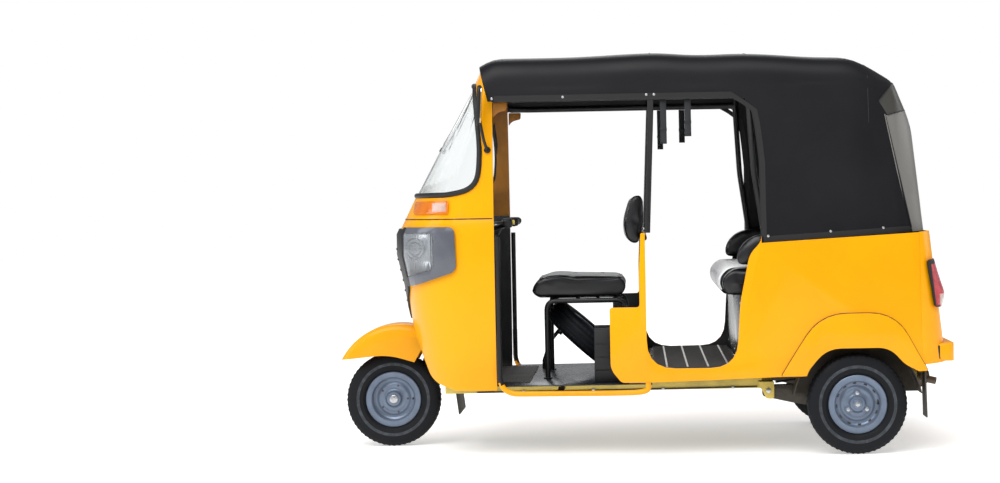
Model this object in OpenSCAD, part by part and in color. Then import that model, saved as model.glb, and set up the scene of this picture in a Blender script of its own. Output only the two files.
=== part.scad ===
// Three-wheeled auto rickshaw. +X points forward, +Y left, +Z up.
// The origin is on the ground, half way along the vehicle and on its centre line.

/* [Vehicle] */
// Distance between the front and rear axles
wheelbase = 2000; // [1660:10:2400]
// Mudguard tip ahead of the front axle
front_overhang = 222.5; // [215:0.5:260]
// Bumper behind the rear axle
rear_overhang = 412.5; // [400:0.5:480]
// Top of the hood above the ground
roof_height = 1718; // [1600:1:2070]
// Half the width of the rear body
body_half_width = 640; // [620:1:770]
// Half the width of the front shield at its door edge
shield_half_width = 565; // [520:1:680]
// Height of the belt line behind the passenger door
belt_height = 887; // [850:1:960]
// Height of the lower edge of the sills
sill_height = 315; // [300:1:330]
// Thickness of the body panels
panel_wall = 12; // [8:1:16]

/* [Wheels] */
// Outer radius of the tyres, which stand on the ground
tyre_radius = 208; // [195:1:215]
// Half the width of the tyres
tyre_half_width = 52; // [44:1:56]
// Half the distance between the rear wheels
half_track = 575; // [560:1:700]
// Radius of the seat of the tyre on its rim
bead_radius = 103; // [95:1:106]
// Radius of the rim's flange
flange_radius = 120; // [115:1:124]

/* [Steering] */
// Lean of the steering axis from the vertical
rake = 27; // [20:1:32]
// Ground point of the steering axis ahead of the front axle
trail = 30; // [20:1:45]
// Radius of the steering stem
stem_radius = 22; // [18:1:26]
// Half the distance between the ends of the handlebar
bar_half_width = 390; // [340:1:430]

/* [Hood] */
// Thickness of the hood cloth with its lining
hood_wall = 4; // [3:1:6]
// Radius of the hood bows and roof rails
bow_radius = 13; // [10:1:16]
// Half the width of the hood at its shoulder
hood_half_width = 556; // [540:1:660]
// Radius of the hood's shoulder
hood_shoulder = 90; // [70:1:110]

/* [Fits] */
// Gap between pieces that are seated on each other
seat_gap = 0.3; // [0.2:0.05:0.5]
// Radial clearance of a shaft in its bearing
bearing_gap = 0.08; // [0.05:0.01:0.1]
// Gap around the engine door
door_gap = 6; // [5:0.5:10]

/* [Hidden] */

body_yellow = "#FDC10C";
hood_black = "#2B2A2E";
soft_black = "#1F1F21";
rim_silver = "#A9ACB0";

// Stations along the vehicle
length = wheelbase + front_overhang + rear_overhang;
front_axle = length / 2 - front_overhang;
rear_axle = front_axle - wheelbase;
door_edge = front_axle - 495;      // rear edge of the front shield
post_x = rear_axle + 873;          // rear face of the post between the doors
prop_front = post_x + 152;         // front edge of the panel under the driver's seat
floor_height = sill_height - 15;
cabin_floor = sill_height + 57;    // floor at the passengers' feet
seam_height = 1008;                // joint of the lower and upper shield
lift = roof_height - 1718;         // what a taller roof adds above the scuttle
scuttle = 1108;                    // foot of the windscreen
header = 1636;                     // head of the windscreen
rail_height = roof_height - 212;   // centre of the roof rails
post_top = belt_height + 50;
post_taper = 18;                   // how far the panels draw in at the post between the doors
cabin_half = body_half_width - panel_wall - post_taper - 0.7;

// ---------- Curves ----------

function unit(v) = v / norm(v);
function flat(p) = [p[0], p[1]];
function bend(a, b, c, r, n) =
    let (p = b + r * unit(a - b), q = b + r * unit(c - b))
    [for (k = [0:n]) let (t = k / n) (1 - t) * (1 - t) * p + 2 * t * (1 - t) * b + t * t * q];

// A closed outline from [x, y, corner] entries, where corner is how far its curve reaches
function outline(p, n = 5) =
    let (m = len(p))
    [for (i = [0:m - 1]) each
        p[i][2] == 0 ? [flat(p[i])] :
        bend(flat(p[(i + m - 1) % m]), flat(p[i]), flat(p[(i + 1) % m]), p[i][2], n)];

// An open path through points, with its inner corners rounded
function path(p, r, n = 4) =
    [for (i = [0:len(p) - 1]) each
        i == 0 || i == len(p) - 1 ? [p[i]] : bend(p[i - 1], p[i], p[i + 1], r, n)];

function mirrored(p) = concat(p, [for (i = [len(p) - 1:-1:0]) [p[i][0], -p[i][1], p[i][2]]]);

// A closed skin over rings that have the same number of points
module loft(rings) {
    n = len(rings[0]);
    last = len(rings) - 1;
    points = [for (ring = rings) each ring];
    sides = [for (k = [0:last - 1]) for (i = [0:n - 1])
        let (j = (i + 1) % n, a = k * n, b = (k + 1) * n)
        each [[a + i, b + i, b + j], [a + i, b + j, a + j]]];
    first_cap = [for (i = [0:n - 1]) i];
    last_cap = [for (i = [n - 1:-1:0]) last * n + i];
    polyhedron(points, concat([first_cap], sides, [last_cap]));
}

function tangent(p, i) = unit(p[min(i + 1, len(p) - 1)] - p[max(i - 1, 0)]);
function tube_ring(c, t, up, r, sides) =
    let (u = unit(cross(t, up)), v = cross(u, t))
    [for (s = [0:sides - 1]) let (a = 360 * s / sides) c + r * (cos(a) * u - sin(a) * v)];

// A round bar swept along a path. up is a direction that the path never takes.
module tube(p, r, up, sides = 10) {
    loft([for (i = [0:len(p) - 1]) tube_ring(p[i], tangent(p, i), up, r, sides)]);
}

// A plate with its outline in the side view, between two distances to the left
module side_plate(p, y0, y1) {
    translate([0, y1, 0])
        rotate([90, 0, 0])
            linear_extrude(y1 - y0)
                polygon(p);
}

// A block with its outline in the front view, between two distances forward
module front_plate(p, x0, x1) {
    translate([x0, 0, 0])
        rotate([90, 0, 90])
            linear_extrude(x1 - x0)
                polygon(p);
}

module box(low, high) {
    translate(low)
        cube(high - low);
}

module both_sides() {
    children();
    mirror([0, 1, 0])
        children();
}

// A round bar across the vehicle
module cross_bar(x, z, r, y0, y1) {
    translate([x, y0, z])
        rotate([-90, 0, 0])
            cylinder(h = y1 - y0, r = r, $fn = 48);
}

// ---------- Front shield ----------

// Height, nose behind the front axle, narrowing at the door edge, squareness of the plan
shield_levels = [
    [285, 135, 35, 2.7],
    [420, 120, 10, 2.8],
    [565, 105, 0, 3.0],
    [725, 80, 0, 3.0],
    [855, 49, 0, 3.0],
    [945, 49, 2, 3.0],
    [1024, 88, 5, 2.9],
    [scuttle, 129, 10, 2.8],
    [1340, 255, 27, 2.7],
    [1560, 387, 52, 2.6],
    [header, 423, 62, 2.5],
    [1662, 440, 68, 2.4],
];
shield_steps = 24;

function raised(z) = z <= scuttle ? z : z + lift * (z - scuttle) / (header - scuttle);

// One level of the shield, moved outwards by grow and opened backwards by open
function shield_ring(level, z, grow, open) =
    let (
        w = shield_half_width - level[2] + grow,
        reach = front_axle - level[1] + grow - door_edge,
        power = 2 / level[3],
        curve = [for (i = [0:shield_steps])
            let (a = -90 + 180 * i / shield_steps, s = sin(a))
            [door_edge + reach * pow(max(cos(a), 0), power), w * sign(s) * pow(abs(s), power), z]]
    )
    concat([[door_edge - open, -w, z]], curve, [[door_edge - open, w, z]]);

module shield_solid(grow, open, below = 0, above = 0) {
    top = len(shield_levels) - 1;
    loft([for (k = [0:top])
        let (level = shield_levels[k])
        shield_ring(level, raised(level[0]) + (k == 0 ? -below : 0) + (k == top ? above : 0),
            grow, open)]);
}

// The skin of the shield from one depth to another, outwards positive
module shield_skin(outer, inner) {
    difference() {
        shield_solid(outer, 1);
        shield_solid(inner, 20, below = 20, above = inner - outer);
    }
}

wheel_opening = outline([
    [front_axle - 330, 260, 0], [front_axle - 318, 286, 10], [front_axle - 215, 320, 50],
    [front_axle - 150, 480, 60], [front_axle - 112, 560, 20], [front_axle + 100, 562, 0],
    [front_axle + 100, 260, 0]
]);

// Opening for the windscreen in the side view
screen_opening = outline([
    [front_axle + 60, scuttle, 0], [front_axle - 300, scuttle + 4, 0],
    [front_axle - 430, scuttle + 28, 70], [front_axle - 443, scuttle + 200, 60],
    [front_axle - 418, header + lift - 62, 14], [front_axle + 60, header + lift - 78, 0]
]);

module lower_shield() {
    color(body_yellow)
        difference() {
            shield_skin(0, -panel_wall);
            side_plate(wheel_opening, -1000, 1000);
            box([door_edge - 50, -1000, seam_height], [front_axle + 100, 1000, 4000]);
        }
}

module upper_shield() {
    color(body_yellow)
        difference() {
            shield_skin(0, -panel_wall);
            side_plate(screen_opening, -1000, 1000);
            box([door_edge - 50, -1000, 0], [front_axle + 100, 1000, seam_height + seat_gap]);
        }
}

module windscreen() {
    color("#D7E0E4", 0.35)
        intersection() {
            shield_skin(-3, -8);
            translate([0, 1000, 0])
                rotate([90, 0, 0])
                    linear_extrude(2000)
                        offset(delta = -seat_gap)
                            polygon(screen_opening);
        }
}

mask_outline = outline([
    [-150, 572, 30], [150, 572, 30], [360, 712, 30], [374, 790, 20], [374, 968, 20],
    [-374, 968, 20], [-374, 790, 20], [-360, 712, 30]
]);

module front_mask() {
    color(soft_black)
        intersection() {
            shield_skin(9, lamp_gap);
            front_plate(mask_outline, door_edge + 100, front_axle + 100);
        }
}

lamp_outline = outline([
    [front_axle + 60, 976, 0], [front_axle - 330, 976, 30], [front_axle - 336, 790, 30],
    [front_axle - 141, 726, 40], [front_axle + 60, 712, 0]
]);
lamp_gap = 0.8;
lens_outline = outline([
    [front_axle + 60, 950, 0], [front_axle - 240, 950, 30], [front_axle - 240, 800, 30],
    [front_axle - 100, 760, 30], [front_axle + 60, 760, 0]
]);

module lamp_band(outer, inner, shape, y0, y1) {
    intersection() {
        shield_skin(outer, inner);
        side_plate(shape, y0, y1);
    }
}

module headlamp_housings() {
    color("#3A3B3F")
        both_sides()
            difference() {
                lamp_band(14, lamp_gap, lamp_outline, 376, 700);
                side_plate(lens_outline, 396, 700);
            }
}

module headlamp_lenses() {
    color("#C9CED2", 0.6)
        both_sides()
            intersection() {
                shield_skin(11, lamp_gap);
                translate([0, 700, 0])
                    rotate([90, 0, 0])
                        linear_extrude(700 - 396 - seat_gap)
                            offset(delta = -seat_gap)
                                polygon(lens_outline);
            }
}

indicator_outline = outline([
    [front_axle - 148, 1084, 10], [front_axle - 304, 1086, 10],
    [front_axle - 304, 1032, 10], [front_axle - 142, 1032, 10]
]);

module indicators() {
    color("#F07A1E")
        both_sides()
            lamp_band(10, lamp_gap, indicator_outline, 200, 700);
}

module dashboard() {
    color(soft_black)
        intersection() {
            shield_solid(-panel_wall - seat_gap, 20);
            union() {
                box([front_axle - 290, -700, 1030], [front_axle, 700, 1075]);
                box([front_axle - 290, -180, 900], [front_axle - 120, 180, 1040]);
            }
        }
}

function level_at(z, item) = lookup(z, [for (l = shield_levels) [l[0], l[item]]]);

// A point in front of the shield's skin, from its height before the screen is raised
function before_shield(y, z, off) =
    let (
        w = shield_half_width - level_at(z, 2),
        n = level_at(z, 3),
        reach = front_axle - level_at(z, 1) - door_edge
    )
    [door_edge + reach * pow(1 - pow(abs(y) / w, n), 1 / n) + off, y, raised(z)];

module wiper() {
    color("#2A2B2D")
        union() {
            translate(before_shield(0, 1306, -2))
                rotate([0, 60, 0])
                    cylinder(h = 16, r = 10, $fn = 32);
            tube([before_shield(0, 1306, 9), before_shield(-8, 1360, 10), before_shield(-16, 1420, 9)],
                4, [0, 1, 0], 8);
            tube([before_shield(-12, 1335, 9), before_shield(-16, 1420, 8), before_shield(-20, 1484, 8)],
                6, [0, 1, 0], 8);
        }
}

// ---------- Floor and chassis ----------

axis_foot = front_axle + trail;
function on_axis(s) = [axis_foot - s * sin(rake), 0, s * cos(rake)];
function on_axis_side(s) = [on_axis(s)[0], on_axis(s)[2]];
head_low = 545;
head_high = 700;
head_radius = stem_radius + 10;
bulkhead_x = front_axle - 283;
rail_y = 300;
rail_half = 22;
cradle_z = floor_height + 10;
engine_half = 200;

module along_axis(s) {
    translate(on_axis(s))
        rotate([0, -rake, 0])
            children();
}

module chassis() {
    low = floor_height - 45;
    color("#B98F12") {
        difference() {
            union() {
                both_sides() {
                    box([rear_axle + 340, rail_y - rail_half, low],
                        [bulkhead_x + 25, rail_y + rail_half, floor_height - seat_gap]);
                    arm_bracket();
                    // Cradle beside the engine
                    box([rear_axle - 262, engine_half + seat_gap, cradle_z],
                        [rear_axle + 345, engine_half + 30, cradle_z + 30]);
                }
                for (x = [bulkhead_x - 20, post_x + 40])
                    box([x, -rail_y, low], [x + 40, rail_y, floor_height - seat_gap]);
                box([rear_axle + 345, -arm_pivot[1] + 30, low],
                    [rear_axle + 385, arm_pivot[1] - 30, cradle_z + 30]);
                // Pad for a jack
                box([rear_axle + 345, -30, low - 8], [rear_axle + 385, 30, low + 1]);
                box([rear_axle - 262, -half_track + 70, cradle_z],
                    [rear_axle - 241, half_track - 70, cradle_z + 30]);
                side_plate([
                    [bulkhead_x + seat_gap, low + 5], [bulkhead_x + 22, low + 5], [bulkhead_x + 22, 470],
                    on_axis_side(head_low) + [-18, 6], on_axis_side(head_low + 75),
                    [bulkhead_x + seat_gap, 560]
                ], -22, 22);
                along_axis(head_low)
                    cylinder(h = head_high - head_low, r = head_radius, $fn = 64);
            }
            along_axis(head_low - 10)
                cylinder(h = head_high - head_low + 20, r = stem_radius + bearing_gap, $fn = 64);
        }
    }
}

arm_pivot = [rear_axle + 364, half_track - 95, 262];

// Ear that carries the front end of a trailing arm
module arm_bracket() {
    for (y = [arm_pivot[1] - 34, arm_pivot[1] + 26])
        side_plate(outline([
            [arm_pivot[0] + 42, floor_height - seat_gap, 0], [arm_pivot[0] + 10, arm_pivot[2] - 34, 12],
            [arm_pivot[0] - 24, arm_pivot[2] - 34, 12], [arm_pivot[0] - 24, floor_height - seat_gap, 0]
        ]), y, y + 8);
    box([arm_pivot[0] - 19, arm_pivot[1] - 40, floor_height - 10],
        [arm_pivot[0] + 36, arm_pivot[1] + 34, floor_height - seat_gap]);
    cross_bar(arm_pivot[0], arm_pivot[2], 9, arm_pivot[1] - 34, arm_pivot[1] + 34);
}

module floor_pan() {
    front_w = shield_half_width - panel_wall - 60;
    color("#55585E") {
        // Driver's floor with the upright bulkhead ahead of the feet
        difference() {
            union() {
                box([post_x - 20, -shield_half_width + 25, floor_height],
                    [bulkhead_x, shield_half_width - 25, floor_height + 4]);
                box([bulkhead_x - 4, -front_w + 60, floor_height],
                    [bulkhead_x, front_w - 60, 600]);
            }
            // Slot for the steering head
            box([bulkhead_x - 40, -head_radius - 8, 505], [bulkhead_x + 40, head_radius + 8, 700]);
            // Corners cut back to the narrowing shield
            both_sides()
                side_corner_cut();
        }
        // Passengers' floor with its riser
        box([post_x - 20, -cabin_half, floor_height + 4], [post_x - 16, cabin_half, cabin_floor - 4]);
        box([rear_axle + 478, -cabin_half, cabin_floor - 8], [post_x - 16, cabin_half, cabin_floor - 4]);
    }
}

module side_corner_cut() {
    translate([0, 0, floor_height - 1])
        linear_extrude(400)
            polygon([
                [door_edge, shield_half_width - 60], [bulkhead_x + 30, shield_half_width - 190],
                [bulkhead_x + 30, 900], [door_edge - 30, 900], [door_edge - 30, shield_half_width - 60]
            ]);
}

step_low = sill_height - 66;

module step_rails() {
    y_front = shield_half_width - panel_wall / 2;
    y_rear = body_half_width - panel_wall / 2 - post_taper;
    x_front = door_edge - 1 - seat_gap - 12;
    color(body_yellow)
        both_sides()
            tube(path([
                [x_front, y_front, seam_height - 80], [x_front, y_front, step_low + 26],
                [prop_front, y_rear - 26, step_low + 24], [post_x - 4, y_rear, step_low + 26],
                [post_x - 4, y_rear, sill_height - seat_gap]
            ], 30), 12, [0, 1, 0.02], 10);
}

// ---------- Rear body ----------

tail_low = rear_axle - 388;        // rear face at the height of the sill
tail_slope = 0.11;                 // how far the rear face leans forward for each unit of height
function tail(z) = tail_low + (z - sill_height) * tail_slope;
corner = 110;
belt_rear = belt_height + 38;

// Plan of the rear body at a height, shrunk by an inset, and its front end pushed out by past
function tub_ring(z, inset, past) =
    let (
        w = body_half_width - inset,
        x = tail(z) + inset,
        r = corner - inset,
        half = concat(
            [[prop_front + past, w - 40, z], [post_x, w - post_taper, z], [post_x - 260, w, z]],
            [for (i = [0:6]) let (a = 90 + 15 * i) [x + r + r * cos(a), w - r + r * sin(a), z]])
    )
    mirrored(half);

module tub_skin(outer, inner) {
    difference() {
        loft([tub_ring(200, outer, 0), tub_ring(belt_rear + 60, outer, 0)]);
        loft([tub_ring(180, inner, 20), tub_ring(belt_rear + 80, inner, 20)]);
    }
}

// Edge of the wheel opening in the side view, from front to rear
arch_outline = outline([
    [rear_axle + 232, 100, 0], [rear_axle + 212, 346, 30], [rear_axle + 128, 444, 60],
    [rear_axle - 134, 444, 50], [rear_axle - 196, 372, 30], [rear_axle - 262, 340, 20],
    [rear_axle - 300, 100, 0]
]);

door_front = post_x;
passenger_door = outline([
    [door_front, belt_rear + 200, 0], [door_front, cabin_floor, 120],
    [rear_axle + 500, cabin_floor, 110], [rear_axle + 482, 640, 40],
    [rear_axle + 440, 840, 30], [rear_axle + 389, belt_height + 8, 20],
    [rear_axle + 389, belt_rear + 200, 0]
]);

panel_outline = outline([
    [post_x + 18, post_top, 6], [post_x + 27, 780, 40], [post_x + 27, 628, 14],
    [prop_front + 2, 628, 18], [prop_front, 370, 30], [prop_front - 45, sill_height, 12],
    [post_x - 5, sill_height, 0], [rear_axle + 329, sill_height + 15, 20],
    [rear_axle + 232, 330, 0], [tail_low - 100, 380, 0],
    [tail_low - 100, belt_rear + 5, 0],
    [rear_axle + 389, belt_height, 0], [rear_axle + 389, post_top, 0]
]);
tail_cut = rear_axle - 268;        // joint of the side and rear panels

module side_panel() {
    color(body_yellow)
        intersection() {
            difference() {
                tub_skin(0, panel_wall);
                side_plate(arch_outline, -1000, 1000);
                side_plate(passenger_door, -1000, 1000);
                box([tail_low - 200, -1000, 0], [tail_cut + seat_gap, 1000, 2000]);
            }
            side_plate(panel_outline, 200, 1000);
        }
}

module side_panel_left() {
    side_panel();
}

module side_panel_right() {
    mirror([0, 1, 0])
        side_panel();
}

tail_bottom = 385;
hatch_half = 400;
hatch_low = 480;
hatch_high = 850;
plate_z = 640;
plate_pitch = 200;

module rear_panel() {
    color(body_yellow)
        union() {
            intersection() {
                difference() {
                    tub_skin(0, panel_wall);
                    box([tail_low - 100, -hatch_half, hatch_low], [rear_axle, hatch_half, hatch_high]);
                }
                side_plate([
                    [tail_cut, tail_bottom - 15], [tail_low - 100, tail_bottom],
                    [tail_low - 100, belt_rear + 5], [tail_cut, belt_rear - 4]
                ], -1000, 1000);
            }
            for (y = hinge_places) {
                // Hinge leaf and pin
                box([hinge[0] - 4, y - 34, hinge[2] + 11],
                    [tail(hinge[2] + 36) + 4, y + 34, hinge[2] + 34]);
                for (side = [y - 34, y + 20])
                    box([hinge[0] - 4, side, hinge[2]], [tail(hinge[2]) + 2, side + 14, hinge[2] + 12]);
                cross_bar(hinge[0], hinge[2], 9, y - 34, y - 20);
                cross_bar(hinge[0], hinge[2], 9, y + 20, y + 34);
                cross_bar(hinge[0], hinge[2], pin_radius, y - 30, y + 30);
            }
        }
}

lean = atan(tail_slope);
hinge = [tail(hatch_high) - 13, 0, hatch_high + 6];
hinge_places = [-hatch_half + 90, hatch_half - 90];
pin_radius = 4;

module engine_door() {
    h = (hatch_high - hatch_low - 2 * door_gap) / cos(lean);
    w = hatch_half - door_gap;
    color(body_yellow)
        difference() {
            union() {
                translate([tail(hatch_low + door_gap), 0, hatch_low + door_gap])
                    rotate([0, lean, 0])
                        box([0, -w, 0], [panel_wall, w, h]);
                for (y = hinge_places) {
                    cross_bar(hinge[0], hinge[2], 9, y - 19.5, y + 19.5);
                    side_plate([
                        [hinge[0] - 8, hinge[2]], [hinge[0] - 2, hinge[2] - 12],
                        [tail(hinge[2] - 50) - 1, hinge[2] - 50],
                        [tail(hinge[2] - 50) + 4, hinge[2] - 50], [tail(hinge[2] - 16) + 4, hinge[2] - 16],
                        [hinge[0] + 8, hinge[2] - 4]
                    ], y - 19.5, y + 19.5);
                }
                // Latch at the foot of the door
                box([tail(hatch_low + 40) - 18, -24, hatch_low + 40],
                    [tail(hatch_low + 40) + 6, 24, hatch_low + 58]);
            }
            for (y = hinge_places)
                cross_bar(hinge[0], hinge[2], pin_radius + bearing_gap, y - 40, y + 40);
            for (y = [-plate_pitch / 2, plate_pitch / 2])
                translate([tail(plate_z) - 20, y, plate_z])
                    rotate([0, 90, 0])
                        cylinder(h = 50, r = 3.5, $fn = 32);
        }
}

flare_out = 10;

module wheel_flares() {
    outer_arch = outline([
        [rear_axle + 318, 332, 12], [rear_axle + 250, 440, 60], [rear_axle + 150, 588, 110],
        [rear_axle - 160, 588, 110], [rear_axle - 250, 420, 60], [rear_axle - 292, 345, 12]
    ]);
    color(body_yellow)
        both_sides()
            difference() {
                side_plate(outer_arch, body_half_width + seat_gap, body_half_width + flare_out);
                side_plate(arch_outline, 0, 1000);
            }
}

module wheel_housings() {
    housing_depth = body_half_width - panel_wall - seat_gap - half_track + 62;
    color(soft_black)
        both_sides()
            intersection() {
                translate([rear_axle, half_track - 62, tyre_radius])
                    rotate([-90, 0, 0])
                        difference() {
                            cylinder(h = housing_depth, r = tyre_radius + 62, $fn = 96);
                            translate([0, 0, 3])
                                cylinder(h = housing_depth, r = tyre_radius + 59, $fn = 96);
                            translate([0, 0, -1])
                                cylinder(h = housing_depth, r = tyre_radius - 40, $fn = 96);
                        }
                box([rear_axle - 400, 0, 250], [rear_axle + 400, 2000, 900]);
            }
}

module bumper() {
    out = rear_axle - rear_overhang;
    color(body_yellow)
        intersection() {
            front_plate(outline([
                [-body_half_width + 30, 380, 20], [body_half_width - 30, 380, 20],
                [body_half_width - 30, 455, 20], [-body_half_width + 30, 455, 20]
            ]), out, rear_axle - 300);
            difference() {
                linear_extrude(1000)
                    polygon(outline([
                        [out, -body_half_width + 30, 60], [out, body_half_width - 30, 60],
                        [rear_axle - 330, body_half_width - 30, 0],
                        [rear_axle - 330, -body_half_width + 30, 0]
                    ]));
                loft([tub_ring(100, -seat_gap, 20), tub_ring(1500, -seat_gap, 20)]);
            }
        }
}

module tail_lamps() {
    color("#B5161B")
        both_sides()
            intersection() {
                difference() {
                    loft([tub_ring(500, -16, 0), tub_ring(900, -16, 0)]);
                    loft([tub_ring(480, -seat_gap, 20), tub_ring(920, -seat_gap, 20)]);
                }
                side_plate(outline([
                    [tail(612) + 28, 606, 10], [tail(802) + 40, 806, 20],
                    [tail(802) - 60, 806, 0], [tail(612) - 60, 606, 0]
                ]), 430, body_half_width + 5);
            }
}

// ---------- Hood ----------

// Distance along, top height, half-width at the belt, half-width at the shoulder
hood_stations = [
    [front_axle - 430, roof_height - 18, body_half_width - 12, hood_half_width],
    [front_axle - 760, roof_height - 6, body_half_width - 12, hood_half_width],
    [rear_axle + 814, roof_height, body_half_width - 12, hood_half_width],
    [rear_axle + 257, roof_height - 15, body_half_width - 12, hood_half_width],
    [rear_axle - 73, roof_height - 39, body_half_width - 14, hood_half_width],
    [rear_axle - 145, roof_height - 90, body_half_width - 18, hood_half_width - 4],
    [rear_axle - 207, roof_height - 148, body_half_width - 30, hood_half_width - 18],
    [rear_axle - 255, roof_height - 205, body_half_width - 50, hood_half_width - 38],
    [rear_axle - 285, roof_height - 252, body_half_width - 76, hood_half_width - 62],
    [rear_axle - 304, roof_height - 310, body_half_width - 116, hood_half_width - 100],
];
hood_crown = 26;
hood_foot = belt_height - 40;

function hood_half_ring(x, top, wide, narrow, inset) =
    let (
        r = hood_shoulder - inset,
        w = narrow - inset,
        z = top - inset - hood_crown,
        y0 = w - r
    )
    concat(
        [[x, wide - inset, hood_foot]],
        [for (i = [0:5]) let (a = 18 * i) [x, y0 + r * cos(a), z - r + r * sin(a)]],
        [for (t = [0.66, 0.33]) [x, y0 * t, z + hood_crown * (1 - t * t)]]);

function hood_ring(s, inset, shift) =
    let (half = hood_half_ring(s[0] + shift, s[1], s[2], s[3], inset))
    concat(half, [[s[0] + shift, 0, s[1] - inset]],
        [for (i = [len(half) - 1:-1:0]) [half[i][0], -half[i][1], half[i][2]]]);

module hood_solid(inset) {
    last = len(hood_stations) - 1;
    loft([for (k = [last:-1:0])
        hood_ring(hood_stations[k], inset,
            k == 0 ? (inset > 0 ? 30 : 0) : (k == last ? inset : 0))]);
}

hood_edge = [
    [front_axle + 200, 300, 0], [front_axle + 200, roof_height + 50, 0],
    [front_axle - 440, roof_height + 50, 0], [front_axle - 444, roof_height - 18, 0],
    [front_axle - 502, roof_height - 226, 0],
    [front_axle - 777, roof_height - 221, 0], [rear_axle + 845, roof_height - 215, 0],
    [rear_axle + 440, roof_height - 220, 50], [rear_axle + 403, belt_height + 250, 60],
    [rear_axle + 389, belt_height + seat_gap, 0], [rear_axle - 340, belt_rear + 2, 0],
    [rear_axle - 340, 300, 0]
];
window_half = 330;
window_low = belt_rear + 210;
window_high = roof_height - 345;

module window_hole(gap) {
    front_plate(outline([
        [-window_half + gap, window_low + gap, 40], [window_half - gap, window_low + gap, 40],
        [window_half - gap, window_high - gap, 40], [-window_half + gap, window_high - gap, 40]
    ]), rear_axle - 400, rear_axle - 200);
}

module hood() {
    color(hood_black)
        difference() {
            hood_solid(0);
            hood_solid(hood_wall);
            side_plate(outline(hood_edge), -1000, 1000);
            window_hole(0);
        }
}

module rear_window() {
    color("#C8CFD2", 0.4)
        intersection() {
            difference() {
                hood_solid(1);
                hood_solid(3);
            }
            window_hole(seat_gap);
        }
}

function side_y(z) =
    let (foot = body_half_width - 12, top = roof_height - hood_crown - hood_shoulder)
    foot + (hood_half_width - foot) * (z - hood_foot) / (top - hood_foot);
function hood_top(x) = lookup(x, [for (s = hood_stations) [s[0], s[1]]]);
bow_inset = hood_wall + bow_radius + 1.1;
front_bow = post_x - 36;
rear_bow = rear_axle + 430;

// A bow that carries the hood across the roof, from one rail to the other
function bow(x) =
    let (
        ring = hood_half_ring(x, hood_top(x), body_half_width - 12, hood_half_width, bow_inset),
        half = concat([[x, side_y(rail_height) - bow_inset, rail_height]],
            [for (i = [1:len(ring) - 1]) ring[i]])
    )
    concat(half, [[x, 0, hood_top(x) - bow_inset]],
        [for (i = [len(half) - 1:-1:0]) [half[i][0], -half[i][1], half[i][2]]]);

module roof_frame() {
    y_rail = side_y(rail_height) - bow_inset;
    foot_y = body_half_width - panel_wall - bow_radius - seat_gap;
    bar_half = body_half_width - panel_wall - post_taper - 2;
    color(soft_black) {
        both_sides() {
            tube([[door_edge - 1.9, y_rail - 30, rail_height + 4], [door_edge - 90, y_rail, rail_height],
                [rear_bow, y_rail, rail_height]], bow_radius, [0, 0, 1]);
            // Post above the panel between the doors
            tube([[front_bow, y_rail, rail_height], [post_x - 10, body_half_width - 24, post_top + 1.6]],
                bow_radius, [0, 1, 0.2]);
            // Leg that carries the hood at the rear edge of the door
            tube(path([[rear_bow, y_rail, rail_height],
                [rear_axle + 412, side_y(belt_height + 300) - bow_inset, belt_height + 300],
                [rear_axle + 372, side_y(belt_height + 20) - bow_inset - 0.6, belt_height + 20],
                [rear_axle + 366, foot_y, belt_height - 40],
                [rear_axle + 366, foot_y, belt_height - 110]], 30),
                bow_radius, [1, 0, 0]);
        }
        for (x = [front_bow, rear_bow])
            tube(bow(x), bow_radius, [1, 0, 0]);
        // Bar between the posts behind the driver
        cross_bar(post_x + 4, post_top - 20, bow_radius, -bar_half, bar_half);
    }
}

// ---------- Seats ----------

seat_half = 235;
bench_half = body_half_width - panel_wall - 32;

module driver_seat() {
    color(soft_black)
        both_sides()
            side_plate(outline([
                [post_x + 500, 652, 20], [post_x + 502, 716, 30], [post_x + 430, 758, 40],
                [post_x + 270, 748, 40], [post_x + 80, 742, 30], [post_x + 68, 690, 20],
                [post_x + 90, 652, 10]
            ]), 0, seat_half);
}

module driver_seat_frame() {
    z_top = 652 - seat_gap - 11;
    color("#2C2D2F") {
        both_sides()
            tube(path([
                [post_x + 430, seat_half - 12, floor_height + 4 + seat_gap],
                [post_x + 430, seat_half - 12, z_top], [post_x + 90, seat_half - 12, z_top],
                [post_x + 60, seat_half - 12, floor_height + 4 + 1.2]
            ], 40), 11, [0, 1, 0]);
        for (x = [post_x + 395, post_x + 130])
            cross_bar(x, z_top, 9, -seat_half + 12, seat_half - 12);
    }
}

module driver_backrest() {
    z_bar = post_top - 20;
    color(soft_black)
        difference() {
            side_plate(outline([
                [post_x + 22, 862, 20], [post_x + 84, 890, 30], [post_x + 96, 980, 40],
                [post_x + 58, 1100, 30], [post_x + 4, 1112, 20], [post_x + 2, 980, 10]
            ]), -210, 210);
            cross_bar(post_x + 4, z_bar, bow_radius + seat_gap, -300, 300);
        }
}

bench_low = 660;
bench_top = 778;                   // top of the cushion below the backrest

module passenger_seat() {
    color(soft_black)
        side_plate(outline([
            [rear_axle + 562, bench_low + 8, 10], [rear_axle + 592, 730, 30],
            [rear_axle + 548, bench_top + 10, 40], [rear_axle + 200, bench_top, 30],
            [rear_axle + 110, bench_top - 8, 0], [rear_axle + 110, bench_low + 8, 0]
        ]), -bench_half, bench_half);
}

module passenger_backrest() {
    color(soft_black)
        side_plate(outline([
            [rear_axle + 205, bench_top + 0.6, 20], [rear_axle + 175, 960, 60], [rear_axle + 120, 1180, 40],
            [rear_axle + 50, 1190, 20], [rear_axle + 78, 960, 0], [rear_axle + 108, bench_top - 7, 0]
        ]), -bench_half + 10, bench_half - 10);
}

module armrests() {
    color(soft_black)
        both_sides()
            side_plate(outline([
                [rear_axle + 496, bench_top + 8.9, 20], [rear_axle + 498, 860, 40],
                [rear_axle + 430, 932, 50], [rear_axle + 215, 940, 20],
                [rear_axle + 230, bench_top + 1.3, 10]
            ]), bench_half - 80, bench_half - 10);
}

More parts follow.
